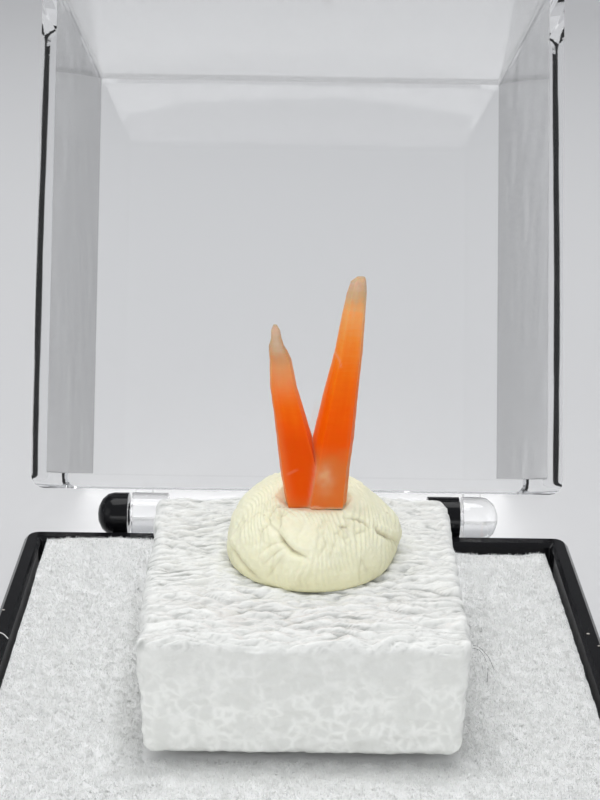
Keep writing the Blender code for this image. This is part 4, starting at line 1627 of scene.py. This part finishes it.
@dataclass
class Studio:
    """The pale floor, the soft lights and the camera at the photograph's viewing angle."""

    floor_tone: float = 0.60
    floor_half: float = 4.0
    bend_start: float = 0.30
    bend_radius: float = 0.20
    camera_place: Vector = placed_at(-0.71, -69.05, 49.67)
    pitch: float = math.radians(21.36)
    yaw: float = math.radians(0.52)
    roll: float = math.radians(1.01)
    lens: float = 72.0
    nearest_seen: float = 0.002
    bend_steps: int = 24
    backdrop_top: float = 0.9
    floor_drop: float = 0.00004
    room_colour: Triple = (0.80, 0.82, 0.85)
    room_strength: float = 0.68
    softboxes: tuple = (
        ("overhead_softbox", (-0.03, 0.07, 0.34), (0.30, 0.20), 0.67),
        ("left_softbox", (-0.42, -0.22, 0.20), (0.28, 0.28), 0.20),
        ("right_softbox", (0.42, -0.20, 0.20), (0.24, 0.24), 0.17),
        ("low_front_softbox", (-0.05, -0.46, 0.07), (0.60, 0.12), 0.60),
    )

    def build(self) -> None:
        """Makes the stage."""
        self._build_floor()
        self._build_camera()
        for softbox in self.softboxes:
            self._soft_light(*softbox)
        world = bpy.data.worlds.new("soft_room")
        world.use_nodes = True
        background = world.node_tree.nodes["Background"]
        background.inputs["Color"].default_value = (*self.room_colour, 1.0)
        background.inputs["Strength"].default_value = self.room_strength
        bpy.context.scene.world = world
        bpy.context.scene.view_settings.view_transform = "Standard"

    def _build_floor(self) -> None:
        """Makes the floor, which curves up into the backdrop."""
        profile = [(-self.floor_half, 0.0), (self.bend_start, 0.0)]
        for step in range(1, self.bend_steps + 1):
            angle = step / self.bend_steps * math.pi / 2
            profile.append((self.bend_start + self.bend_radius * math.sin(angle),
                            self.bend_radius * (1.0 - math.cos(angle))))
        profile.append((self.bend_start + self.bend_radius, self.backdrop_top))
        below = self.floor_drop
        points, faces = [], []
        for y, z in profile:
            points += [(-self.floor_half, y, z - below), (self.floor_half, y, z - below)]
        for row in range(len(profile) - 1):
            faces.append((2 * row, 2 * row + 1, 2 * row + 3, 2 * row + 2))
        mesh = bpy.data.meshes.new("floor")
        mesh.from_pydata(points, [], faces)
        mesh.shade_smooth()
        finish = Finish("pale_paper")
        tone = self.floor_tone
        floor = new_object("floor", mesh, finish.done(finish.surface(
            Base_Color=(tone, tone, tone * 1.01), Roughness=0.8)))

    def _build_camera(self) -> None:
        """Places the camera by its angles."""
        data = bpy.data.cameras.new("camera")
        data.lens = self.lens
        data.clip_start = self.nearest_seen
        camera = bpy.data.objects.new("camera", data)
        bpy.context.scene.collection.objects.link(camera)
        level = math.cos(self.pitch)
        forward = Vector((math.sin(self.yaw) * level, math.cos(self.yaw) * level, -math.sin(self.pitch)))
        right = Vector((math.cos(self.yaw), -math.sin(self.yaw), 0.0))
        up = right.cross(forward)
        turned_right = math.cos(self.roll) * right + math.sin(self.roll) * up
        turned_up = math.cos(self.roll) * up - math.sin(self.roll) * right
        matrix = Matrix((turned_right, turned_up, -forward)).transposed().to_4x4()
        matrix.translation = self.camera_place
        camera.matrix_world = matrix
        bpy.context.scene.camera = camera

    @staticmethod
    def _soft_light(name: str, place: tuple, size: tuple, power: float) -> None:
        """Makes one large area light that faces the specimen.

        Args:
            name: The light's name.
            place: Where it is.
            size: Its width and height.
            power: Its power in watts.
        """
        data = bpy.data.lights.new(name, "AREA")
        data.shape = "RECTANGLE"
        data.size, data.size_y = size
        data.energy = power
        light = bpy.data.objects.new(name, data)
        bpy.context.scene.collection.objects.link(light)
        aim = Vector((0.0, 0.0, 0.015)) - Vector(place)
        light.matrix_world = Matrix.Translation(place) @ aim.to_track_quat("-Z", "Y").to_matrix().to_4x4()


def write_sizes() -> None:
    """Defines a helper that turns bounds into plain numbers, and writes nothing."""
    def plain(bounds: tuple) -> list:
        """Returns bounds as lists of numbers."""
        return [[float(part) for part in corner] for corner in bounds]


def main() -> None:
    """Builds the stage, then the pieces in the order in which they carry each other."""
    logging.basicConfig(level=logging.INFO, format="%(name)s: %(message)s")
    Studio().build()
    DisplayTray().build()
    PileLiner().build()
    FoamBlock().build()
    PuttyMound().build()
    TwinCrystal().build()
    StrayHairs().build()
    ClearLid().build()
    write_sizes()


if __name__ == "__main__":
    main()
